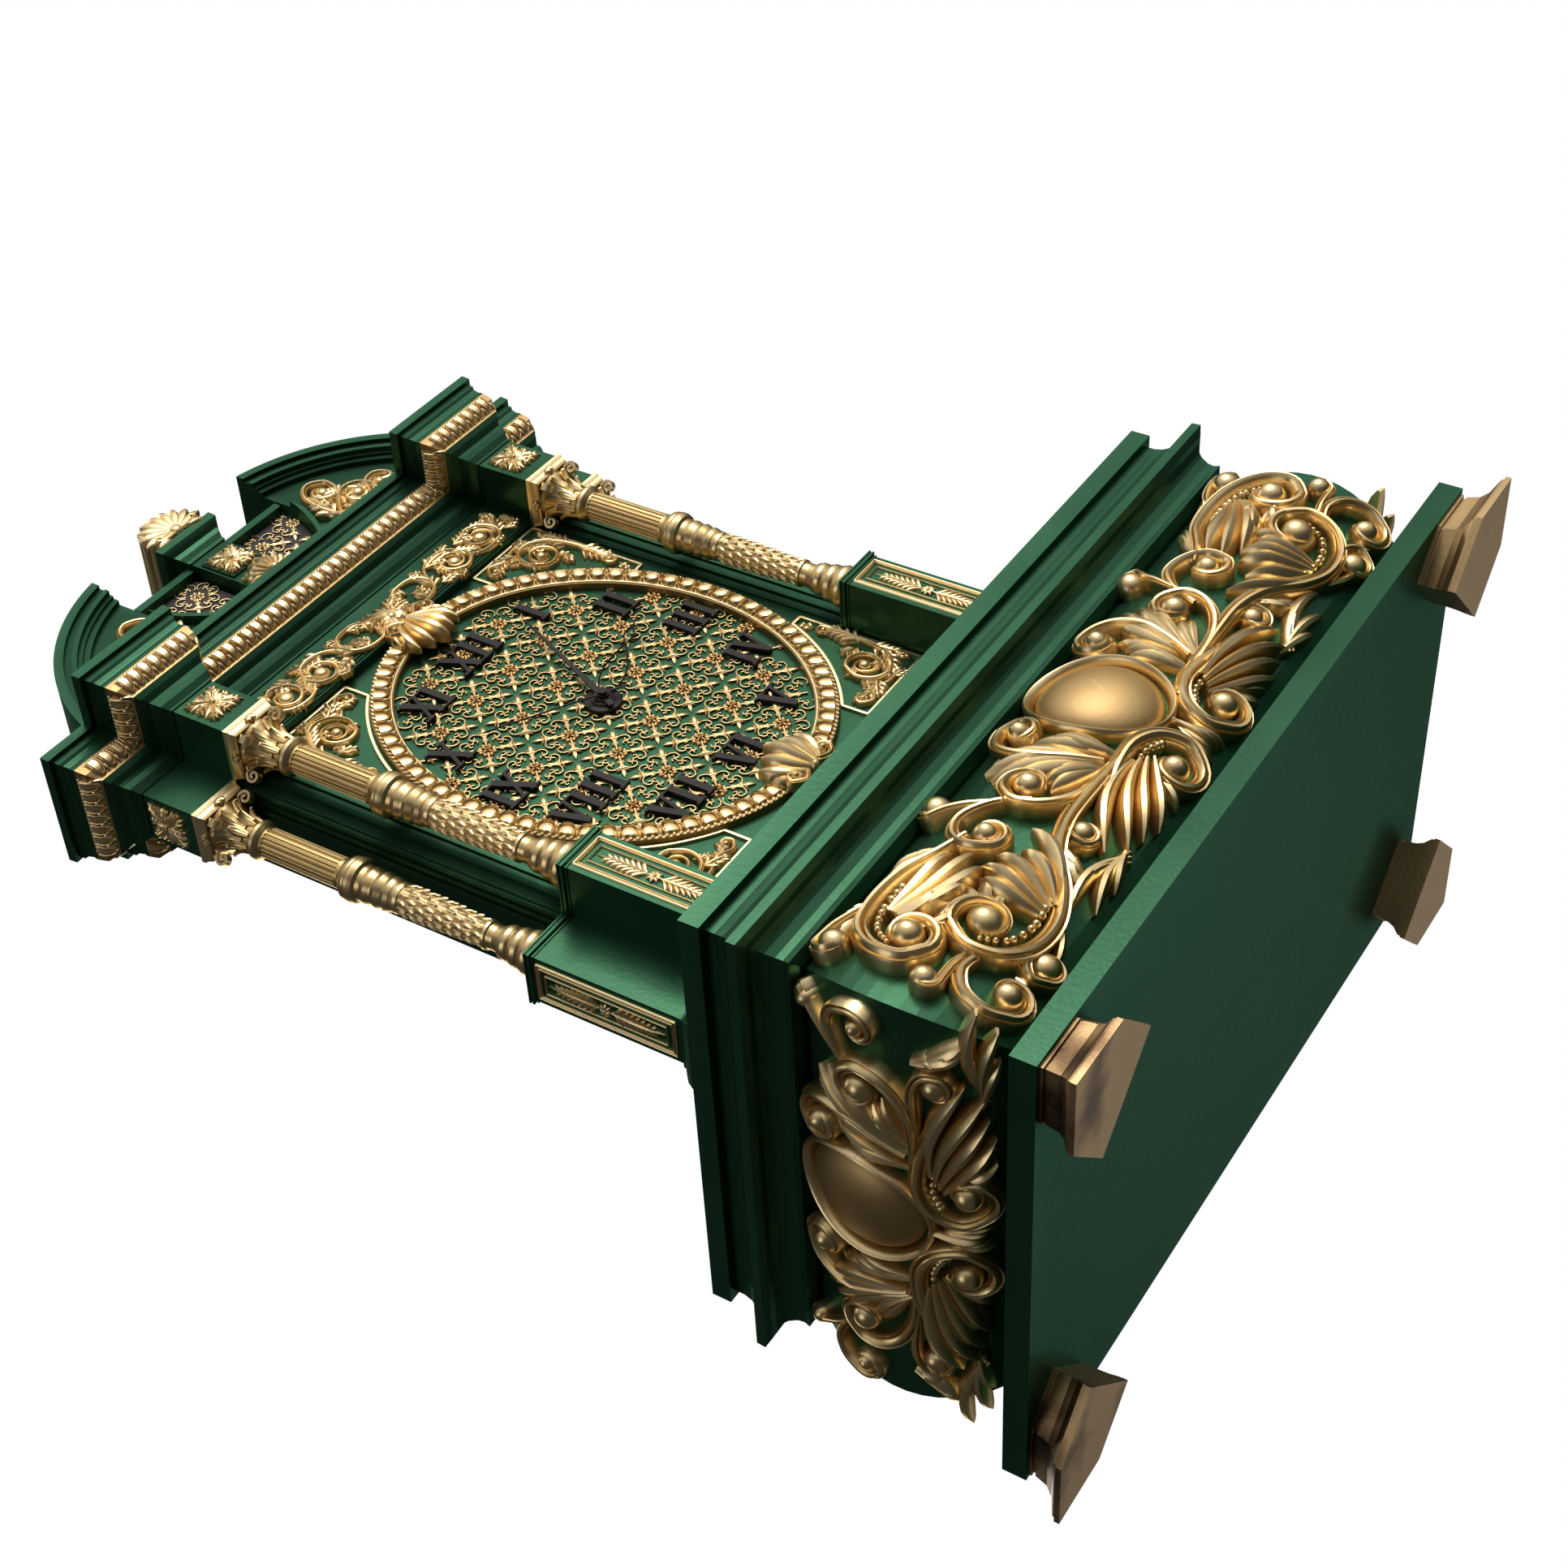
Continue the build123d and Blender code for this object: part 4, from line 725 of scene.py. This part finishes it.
def spandrel(relief, sx, sz):
    """Frame, curls and leaves of one corner, laid out for the upper right one and mirrored by sx and sz."""
    def corner(p):
        return (sx * p[0], DIAL_Z + sz * p[1])

    hand = sx * sz
    angles = [radians(ARC_FROM + (ARC_TO - ARC_FROM) * k / 20) for k in range(21)]
    arc = [(ARC_A * sin(a), ARC_B * cos(a)) for a in angles]
    loop = [(48, FRAME_Z), (FRAME_X, FRAME_Z), (FRAME_X, 44.3)]
    loop += [(min(x, FRAME_X), z) for x, z in arc[::-1]] + [(48, FRAME_Z)]
    for a, b in zip(loop, loop[1:]):
        if hypot(b[0] - a[0], b[1] - a[1]) > 0.2:
            relief.band([corner(a), corner(b)], 1.5, 1.5, FLAT)
    for pts, eye, turn, w, h, turns, ball in CURLS:
        relief.scroll([corner(p) for p in pts], corner(eye), turn * hand, w, h, turns=turns, ball=ball)
    for p, ang, length, w, h, n, bend in LEAVES:
        d = (cos(radians(ang)) * sx, sin(radians(ang)) * sz)
        relief.leaf(corner(p), degrees(atan2(d[1], d[0])), length, w, h, n, bend * hand)


spandrels = Relief(flat(PANEL_FACE))
for sx in (-1, 1):
    for sz in (-1, 1):
        spandrel(spandrels, sx, sz)
spandrels.build("spandrel_arabesques", replaces=("spandrels",))

# -------------------- frieze
def leaves(relief, rows):
    for row in rows:
        relief.leaf(*row)


frieze = Relief(flat(FRIEZE_FACE))
both = Mirror(frieze)
for k in range(-4, 5):
    frieze.finger((k * 0.5, 449), 90 + k * 17, 12.6 - abs(k) * 0.9, 3.0, 2.6, k * 6)
    if k:
        frieze.finger((k * 0.4, 450), -90 + k * 18, 8.5 - abs(k) * 0.5, 2.8, 2.4, -k * 5)
frieze.ball(0, 450, 3.0, 3.4)
both.scroll([(5, 447), (12, 443.6), (22, 443.4), (29, 447.5), (31, 454.5), (26.5, 460.5), (17, 461.4),
    (12, 459.4)], (13.6, 457.4), 1, 2.3, 2.6, turns=0.8)
leaves(both, [((29, 447), 60, 14, 5.0, 2.6, 4, 40), ((24, 444), 104, 11, 4.0, 2.4, 3, 30),
    ((20, 461), 190, 10, 4.0, 2.4, 3, 20), ((14, 443.6), 150, 9, 3.6, 2.2, 3, -30),
    ((2, 452), 6, 13, 4.2, 3.0, 3, -30), ((4, 456), 34, 10, 3.6, 2.8, 3, -30),
    ((26, 461), -14, 10, 3.6, 2.6, 3, 30), ((12, 458), 250, 8, 3.2, 2.4, 2, -20)])
both.scroll([(31, 450), (35, 458), (43, 462.2), (52, 461), (57.4, 454), (56, 446.4), (49.5, 443.2),
    (43.6, 446)], (49.4, 451.2), -1, 2.5, 2.8, turns=1.2, ball=0.4)
leaves(both, [((38, 460), 8, 20, 5.0, 2.8, 4, -26), ((55, 458), -62, 15, 4.8, 2.6, 4, 30),
    ((33, 446), -6, 12, 4.0, 2.2, 3, -10)])
both.scroll([(57, 451), (60, 445.6), (67, 442.8), (76, 444), (81, 450), (79, 458), (72, 462), (65.6, 459)],
    (71.6, 453), 1, 2.5, 2.8, turns=1.2, ball=0.4)
leaves(both, [((60, 460), 4, 16, 4.6, 2.6, 4, 14), ((79, 447), 44, 17, 5.0, 2.6, 4, 16),
    ((82, 454), 70, 10, 4.4, 2.4, 3, -20), ((84, 446), -4, 11, 3.8, 2.2, 3, 20)])
for x, z in ((46.5, 456.5), (68, 456.8), (88, 459.5)):
    for k in range(5):
        both.finger((x, z), 72 * k + 18, 3.2, 2.2, 2.2)
    both.ball(x, z, 1.1, 2.6)
for p, ang, length, w, bend in (((20, 445), 72, 12, 4.0, -30), ((11, 460), -40, 9, 3.4, 30),
        ((40, 456), -70, 10, 3.6, -30), ((50, 461), 34, 10, 3.6, -30), ((48, 444), 200, 9, 3.2, 20),
        ((64, 444), 130, 10, 3.6, 30), ((74, 462), -20, 12, 3.8, 20), ((70, 444.5), -14, 10, 3.2, 20),
        ((86, 457), 60, 9, 3.4, 30), ((34, 462), 196, 9, 3.4, 20), ((10, 446), 176, 7, 3.0, -30),
        ((90, 447), 74, 9, 3.2, 10)):
    both.leaf(p, ang, length, w, 2.5, 3, bend)
frieze.build("frieze_rinceau_relief", replaces=("frieze_rinceau",))

# -------------------- rosettes, pedestal sprays, centre block rosette
BLOCK_X = 109.5  # middle of a front block
ROSETTE_Z, ROSETTE_R = 457.3, 10.0
CENTRE_Z, CENTRE_R = 547.5, 9.7
SPRAY_Z, SPRAY_LENGTH = 227, 25
PEDESTAL_FRAMES = [(9.1, 193.6, 260.2, 1.2), (7.7, 195.0, 258.8, 0.7), (4.9, 197.8, 256.0, 0.6)]
FACES = [lambda u, v, h: (u - BLOCK_X, -Y_FRONT - h, v),
         lambda u, v, h: (u + BLOCK_X, -Y_FRONT - h, v),
         lambda u, v, h: (-X_OUT - h, -u, v),
         lambda u, v, h: (X_OUT + h, u, v)]


def rosette(relief, z, s):
    """Square acanthus rosette: serrated leaves to the corners and to the middle of each side."""
    for k in range(4):
        relief.leaf((0, z), 45 + 90 * k, s * 1.30, s * 0.42, 2.4, 4)
        relief.leaf((0, z), 90 * k, s * 1.02, s * 0.36, 2.2, 3)
        for g in (-1, 1):
            a = radians(90 * k + 24 * g)
            relief.lobe((0, z), (s * 1.04 * cos(a), z + s * 1.04 * sin(a)), 0.12 * g, s * 0.32, 2.0, 0, 5)
    relief.ball(0, z, s * 0.18, 3.0)


rosettes, sprays = Relief(None), Relief(None)
for face in FACES:
    rosettes.place = sprays.place = face
    rosette(rosettes, ROSETTE_Z, ROSETTE_R)
    for half, z0, z1, w in PEDESTAL_FRAMES:
        corners = [(-half, z0), (half, z0), (half, z1), (-half, z1), (-half, z0)]
        for a, b in zip(corners, corners[1:]):
            sprays.band([a, b], w, 1.0)
    for s in (-1, 1):
        sprays.leaf((0, SPRAY_Z + s * 3), s * 90, SPRAY_LENGTH, 4.0, 1.5, 7)
    for k in range(8):
        sprays.finger((0, SPRAY_Z), 45 * k, 3.6, 1.7, 1.5)
    sprays.ball(0, SPRAY_Z, 1.1, 1.9)
rosettes.build("rosette_reliefs", replaces=("rosettes",))
sprays.build("pedestal_sprays", replaces=("pedestal_mounts",))
centre = Relief(flat(CENTRE_FACE))
rosette(centre, CENTRE_Z, CENTRE_R)
centre.build("centre_rosette")

# -------------------- column carving
COLUMNS = ("column_front_left", "column_front_right", "column_side_left", "column_side_right")
SCALE_ROWS, SCALES_ROUND = 9, 12
SCALE_Z, SCALE_STEP, SCALE_HALF = 297.0, 4.75, 13.5  # lowest row, spacing, half width in degrees
SHAFT_RADII = [(294.5, 5.2), (305, 5.6), (318, 6.1), (330, 6.35), (338, 6.3)]
BELL_RADII = [(417.4, 6.6), (424, 7.0), (429.4, 8.2), (434.6, 10.6)]
# Rows of capital leaves: height, leaves, length, half width in degrees, turn in degrees.
LEAF_ROWS = [(417.8, 8, 8.2, 15.0, 0), (420.5, 8, 11.5, 16.0, 22.5)]
# Stations along one scale and one leaf: share of the length, share of the half width, height.
SCALE_STATIONS = [(0.0, 0.75, 0.1), (0.25, 0.95, 0.55), (0.55, 1.0, 0.9), (0.8, 0.72, 1.15),
    (1.0, 0.12, 1.2)]
LEAF_STATIONS = [(0, 0.7, 0.6), (0.3, 0.95, 1.0), (0.6, 1.0, 1.3), (0.82, 0.8, 2.2), (1.0, 0.45, 3.4),
    (0.93, 0.3, 3.7)]
SCALE_SECTION = [(-1, -0.6), (-0.8, 0.5), (-0.3, 0.95), (0, 1.1), (0.3, 0.95), (0.8, 0.5), (1, -0.6)]
LEAF_SECTION = [(-1, -1.2), (-1, -0.15), (-0.55, 0.35), (-0.25, 0.1), (0, 0.45), (0.25, 0.1), (0.55, 0.35),
    (1, -0.15), (1, -1.2)]
VOLUTE_STEM = [(7.4, 424.5), (9.4, 429.5), (13.0, 433.6), (16.0, 432.2)]
VOLUTE_EYE, VOLUTE_R, VOLUTE_TURNS, VOLUTE_HALF = (14.0, 430.2), 2.9, 1.15, 0.62
FLOWER_Z, FLOWER_OUT = 435.0, 12.6


def around(cx, cy, radii):
    """u = angle in degrees from the front, v = height, h = outwards from the radius in the table at v."""
    def place(u, v, h):
        a, r = radians(u), lerp_table(radii, v) + h
        return (cx + r * sin(a), cy - r * cos(a), v)
    return place


def shaft_scales(relief):
    for row in range(SCALE_ROWS):
        z = SCALE_Z + row * SCALE_STEP
        for k in range(SCALES_ROUND):
            u = 30 * k + 15 * (row % 2)
            relief.shell([[(u + wide * SCALE_HALF * c, z + 3.0 - 5.6 * t, rise * k2)
                for c, k2 in SCALE_SECTION] for t, wide, rise in SCALE_STATIONS])


def capital_leaves(relief):
    for z, count, length, half, turn in LEAF_ROWS:
        for k in range(count):
            u = 360 / count * k + turn
            relief.shell([[(u + wide * half * c, z + length * t, rise + k2) for c, k2 in LEAF_SECTION]
                for t, wide, rise in LEAF_STATIONS])


def volute(relief, side):
    """Flat spiral strip on one side of a corner of the capital."""
    path = smooth(VOLUTE_STEM)
    for i in range(1, 19):
        t = i / 18
        r = VOLUTE_R * (1 - t) + 0.6 * t
        a = radians(45) - 2 * pi * VOLUTE_TURNS * t
        path.append((VOLUTE_EYE[0] + r * cos(a), VOLUTE_EYE[1] + r * sin(a)))
    rows = []
    for i, p in enumerate(path):
        q0, q1 = path[max(i - 1, 0)], path[min(i + 1, len(path) - 1)]
        length = hypot(q1[0] - q0[0], q1[1] - q0[1]) or 1
        nx, nz = -(q1[1] - q0[1]) / length, (q1[0] - q0[0]) / length
        rows.append([(p[0] + nx * VOLUTE_HALF * c, p[1] + nz * VOLUTE_HALF * c, side * 0.9 + k)
            for c, k in ((-1, -0.9), (1, -0.9), (1, 0.9), (-1, 0.9))])
    relief.shell(rows)


for node in COLUMNS:
    lo, hi = mm(node)
    cx, cy = (lo[0] + hi[0]) / 2, (lo[1] + hi[1]) / 2
    column = Relief(around(cx, cy, SHAFT_RADII))
    shaft_scales(column)
    column.place = around(cx, cy, BELL_RADII)
    capital_leaves(column)
    for k in range(4):
        a = radians(45 + 90 * k)
        dx, dy = sin(a), -cos(a)
        column.place = lambda u, v, h: (cx + dx * u - dy * h, cy + dy * u + dx * h, v)
        for side in (-1, 1):
            volute(column, side)
        a = radians(90 * k)
        dx, dy = sin(a), -cos(a)
        column.place = lambda u, v, h: (cx + dx * (FLOWER_OUT + h) - dy * u,
            cy + dy * (FLOWER_OUT + h) + dx * u, v)
        for j in range(5):
            column.finger((0, FLOWER_Z), 30 + 30 * j, 3.6, 2.0, 1.6)
        column.ball(0, FLOWER_Z + 0.2, 1.2, 2.0)
    column.build("carving_" + node)

# -------------------- pediment scrolls, shell, cartouche
INFILL_FACE, INFILL_DEPTH = -14.0, -9.0
INFILL_TOP, INFILL_HEIGHT, SEGMENT_X = 560.0, 51.5, 51.5  # SEGMENT_X: inner end of a segment
infill = Relief(flat(INFILL_FACE))
for s in (-1, 1):
    rows = []
    for k in range(13):
        z = INFILL_TOP - INFILL_HEIGHT * k / 12
        x = min(rib_edge(z, 88.5), SEGMENT_X - 0.6)
        rows.append([(s * x, z, 0.0), (s * SEGMENT_X, z, 0.0), (s * SEGMENT_X, z, INFILL_DEPTH),
            (s * x, z, INFILL_DEPTH)])
    infill.shell(rows)
infill.build("tympanum_inner_panels", slot="green_case", mat=GREEN)
tympanum = Relief(flat(TYMPANUM_FACE))
both = Mirror(tympanum)
both.scroll([(54, 514), (55, 526), (54.6, 540), (58, 551), (66, 556), (73, 551), (72, 543)], (65.4, 545.4),
    -1, 3.4, 4.2, turns=1.2)
both.scroll([(56, 512), (66, 516), (76, 523), (84, 533), (92, 534), (95.5, 528), (92, 522.4)], (87.4, 527),
    -1, 3.2, 4.0, turns=1.15)
both.scroll([(82, 511.5), (93, 513), (103, 517), (111, 517), (113.4, 512.6)], (109.4, 513), -1, 2.6, 3.4,
    turns=0.8)
for p, ang, length, w, bend in (((55, 528), 86, 26, 7, -22), ((58, 516), 52, 26, 8, -24),
        ((70, 519), 74, 24, 7.6, -30), ((60, 548), -46, 20, 7, 40), ((78, 527), 96, 15, 6, -34),
        ((88, 513), 44, 17, 6, -24), ((98, 514), 60, 13, 5, -34), ((58, 511.5), 8, 26, 5.6, 4),
        ((74, 541), -70, 14, 6, 30), ((64, 531), 20, 14, 6, -30), ((108, 512), 4, 13, 4, 10)):
    both.leaf(p, ang, length, w, 3.6, 4, bend)
both.scroll([(52, 520), (60, 530), (71, 538), (80, 536), (82.5, 527.5), (76, 521.5)], (73.6, 529.4), -1, 3.6,
    4.8, turns=1.0)
for p, tip, bow in (((62, 533), (52.6, 545), 0.2), ((66, 537), (58, 549), 0.2),
        ((86, 530), (96, 519.6), 0.2), ((84, 524), (92, 512.6), 0.2), ((96, 519), (106, 511.6), 0.2),
        ((70, 520), (62, 511), 0.2), ((76, 517), (72, 509.6), 0.2), ((100, 515), (116, 511), 0.12),
        ((60, 523), (51.6, 532), 0.2)):
    both.lobe(p, tip, bow, 4.4, 3.8)
tympanum.build("pediment_acanthus", replaces=("tympanum_scrolls",))

SHELL_Z = 582.0
shell = Relief(flat(SHELL_FACE))
for k in range(11):
    a = radians(-16 + 21.2 * k)
    r = 18.4 if 0 < k < 10 else 16.0
    shell.lobe((0, SHELL_Z), (r * cos(a), SHELL_Z + r * sin(a)), 0, 6.8, 3.0, -0.5)
shell.ball(0, 581.6, 3.8, 3.5)
Mirror(shell).scroll([(2, 579.6), (7, 578.8), (12, 579.6)], (11.2, 581.4), 1, 2.4, 3.0, turns=0.8)
shell.build("shell_lobes")
cartouche = Relief(flat(CARTOUCHE_FACE))
both = Mirror(cartouche)
for k in (4, -4, 3, -3, 2, -2, 1, -1, 0):
    a = radians(90 - k * 19)
    reach = 13 - abs(k) * 0.8
    cartouche.lobe((k * 0.9, 521), (k * 0.9 + reach * cos(a), 521 + reach * sin(a)), -0.06 * k, 4.2,
        5.6 - 0.5 * abs(k), 0.6)
for k in (2, -2, 1, -1, 0):
    cartouche.lobe((k * 0.7, 519), (k * 2.6, 508.9 + abs(k) * 1.2), -0.08 * k, 3.8, 5.2 - 0.6 * abs(k), 0.4)
cartouche.ball(0, 519.6, 4.6, 7.4, 0, 18, 7, ru=3.8)
both.scroll([(2, 514.6), (7, 511.8), (12.0, 513.2), (14.6, 517.6), (12.4, 521.0)], (10.0, 517.6), 1, 2.8,
    4.6, turns=0.8, ball=0.5)
both.leaf((9, 513), -2, 16, 4.4, 3.6, 4, 30)
both.leaf((4, 524), 20, 11, 3.4, 3.4, 3, 50)
cartouche.build("centre_cartouche", replaces=("cartouche",))

# -------------------- hands: hour loop in wire, and the serrated rim of its hub
HOUR_ANGLE = radians(69.8)  # direction of the hour hand at rest, from twelve
HOUR_BACK, HUB_BACK = -14.3, -13.6  # y of the grounds of the wirework and of the rim
HUB_R, HUB_TOOTH = 8.4, 0.45


def hour_place(u, v, h):
    """u across the hour hand, v along it from the dial's centre."""
    return (v * sin(HOUR_ANGLE) + u * cos(HOUR_ANGLE), HOUR_BACK - h,
        DIAL_Z + v * cos(HOUR_ANGLE) - u * sin(HOUR_ANGLE))


wire = Relief(hour_place)
for s in (-1, 1):
    wire.band(smooth([(s * 2.4, 3.0), (s * 4.6, 10), (s * 5.6, 17), (s * 4.8, 25), (s * 2.4, 34),
        (s * 0.5, 41), (s * 1.9, 45), (s * 2.4, 48), (s * 1.4, 51), (0, 53.4)]), 0.85, 0.75, sink=0.0)
wire.band([(0, 53.0), (0, 63.4)], [0.9, 0.5], [0.75, 0.4], sink=0.0)
ring = [(4.4 * sin(t * pi / 16), 4.4 * cos(t * pi / 16)) for t in range(33)]
wire.band(ring, 2.4, 0.7, sink=0.0)
wire.build("hour_hand_wirework", body="hour", slot="black", mat=BLACK, replaces=("hour_hand",))
hub = Relief(lambda u, v, h: (u, HUB_BACK - h, DIAL_Z + v))
rim = [(HUB_R + HUB_TOOTH * (j % 2), pi * j / 36) for j in range(72)]
hub.shell([[(r * k * cos(a), r * k * sin(a), h) for r, a in rim] for k, h in ((1.0, -0.6), (1.0, 0.1),
    (0.94, 0.35), (0.3, 0.4))])
hub.band([(6.6 * sin(t * pi / 16), 6.6 * cos(t * pi / 16)) for t in range(33)], 1.4, 0.5, sink=-0.3)
hub.ball(5.2, -5.0, 0.9, 0.5)
hub.build("hour_hub_rim", body="hour", slot="black", mat=BLACK)

# -------------------- floor, lights, camera
GLOW_FROM = (0.30, -0.88, 0.36)  # direction of the bright side of the surroundings
AIM = (0, 0, 0.3)
CAMERA_AT = (-0.7179, -0.7233, -0.2460)
CAMERA_RIGHT, CAMERA_UP = Vector((0.527, 0.044, -0.849)), Vector((0.562, -0.767, 0.309))


def pale_floor():
    """Floor that is see-through from below and takes no part in the light on the clock."""
    bpy.ops.mesh.primitive_plane_add(size=6.0, location=(0, 0, 0))
    floor = bpy.context.object
    floor.name = "floor"
    material, tree, shader = principled("floor_pale", Roughness=0.9)
    link = tree.links.new
    noise = add_node(tree, "TexNoise", Scale=3.0)
    tone = add_node(tree, "MapRange", To_Min=0.80, To_Max=0.84)
    link(noise.outputs["Fac"], tone.inputs["Value"])
    link(tone.outputs[0], shader.inputs["Base Color"])
    geometry = add_node(tree, "NewGeometry")
    clear = add_node(tree, "BsdfTransparent")
    mix = add_node(tree, "MixShader")
    link(geometry.outputs["Backfacing"], mix.inputs[0])
    link(shader.outputs[0], mix.inputs[1])
    link(clear.outputs[0], mix.inputs[2])
    link(mix.outputs[0], next(n for n in tree.nodes if n.type == "OUTPUT_MATERIAL").inputs[0])
    floor.data.materials.append(material)
    floor.visible_shadow = False
    floor.visible_diffuse = False
    floor.visible_glossy = False


def studio_world():
    """White to the camera; to the clock, dim surroundings that brighten towards GLOW_FROM."""
    world = bpy.data.worlds.new("studio")
    bpy.context.scene.world = world
    world.use_nodes = True
    tree = world.node_tree
    tree.nodes.clear()
    link = tree.links.new
    output = add_node(tree, "OutputWorld")
    white = add_node(tree, "Background", Color=(1, 1, 1, 1))
    soft = add_node(tree, "Background")
    coords = add_node(tree, "TexCoord")
    dot = add_node(tree, "VectorMath")
    dot.operation = "DOT_PRODUCT"
    dot.inputs[1].default_value = Vector(GLOW_FROM).normalized()
    glow = add_node(tree, "MapRange", From_Min=0.3, To_Min=0.07, To_Max=1.3)
    glow.interpolation_type = "SMOOTHSTEP"
    link(coords.outputs["Generated"], dot.inputs[0])
    link(dot.outputs["Value"], glow.inputs["Value"])
    link(glow.outputs[0], soft.inputs[1])
    rays = add_node(tree, "LightPath")
    mix = add_node(tree, "MixShader")
    link(rays.outputs["Is Camera Ray"], mix.inputs[0])
    link(soft.outputs[0], mix.inputs[1])
    link(white.outputs[0], mix.inputs[2])
    link(mix.outputs[0], output.inputs[0])


def area(name, place, target, size, power, color=(1, 1, 1)):
    """Round area light at place, aimed at target."""
    light = bpy.data.lights.new(name, "AREA")
    light.shape, light.size, light.energy, light.color = "DISK", size, power, color
    ob = bpy.data.objects.new(name, light)
    bpy.context.collection.objects.link(ob)
    ob.location = place
    ob.rotation_euler = (Vector(target) - Vector(place)).to_track_quat("-Z", "Y").to_euler()


def add_camera():
    camera = bpy.data.objects.new("camera", bpy.data.cameras.new("camera"))
    bpy.context.collection.objects.link(camera)
    camera.data.lens, camera.data.sensor_width = 59.97, 36.0
    camera.data.clip_start = 0.01
    right = CAMERA_RIGHT.normalized()
    back = right.cross(CAMERA_UP.normalized()).normalized()
    up = back.cross(right)
    turn = Matrix((right, up, back)).transposed()
    camera.matrix_world = Matrix.Translation(CAMERA_AT) @ turn.to_4x4()
    bpy.context.scene.camera = camera


pale_floor()
studio_world()
area("key", (0.75, -2.1, 1.0), AIM, 1.5, 36, (1.0, 0.97, 0.93))
area("fill", (-2.1, -0.5, 1.0), AIM, 1.2, 6)
area("top", (0.2, 0.2, 2.4), AIM, 1.5, 16)
area("low", (1.2, 1.1, -1.6), (0, 0, 0.0), 2.4, 7)
area("back", (0.4, 2.0, 1.0), AIM, 1.4, 12)
add_camera()
bpy.context.scene.view_settings.view_transform = "Standard"
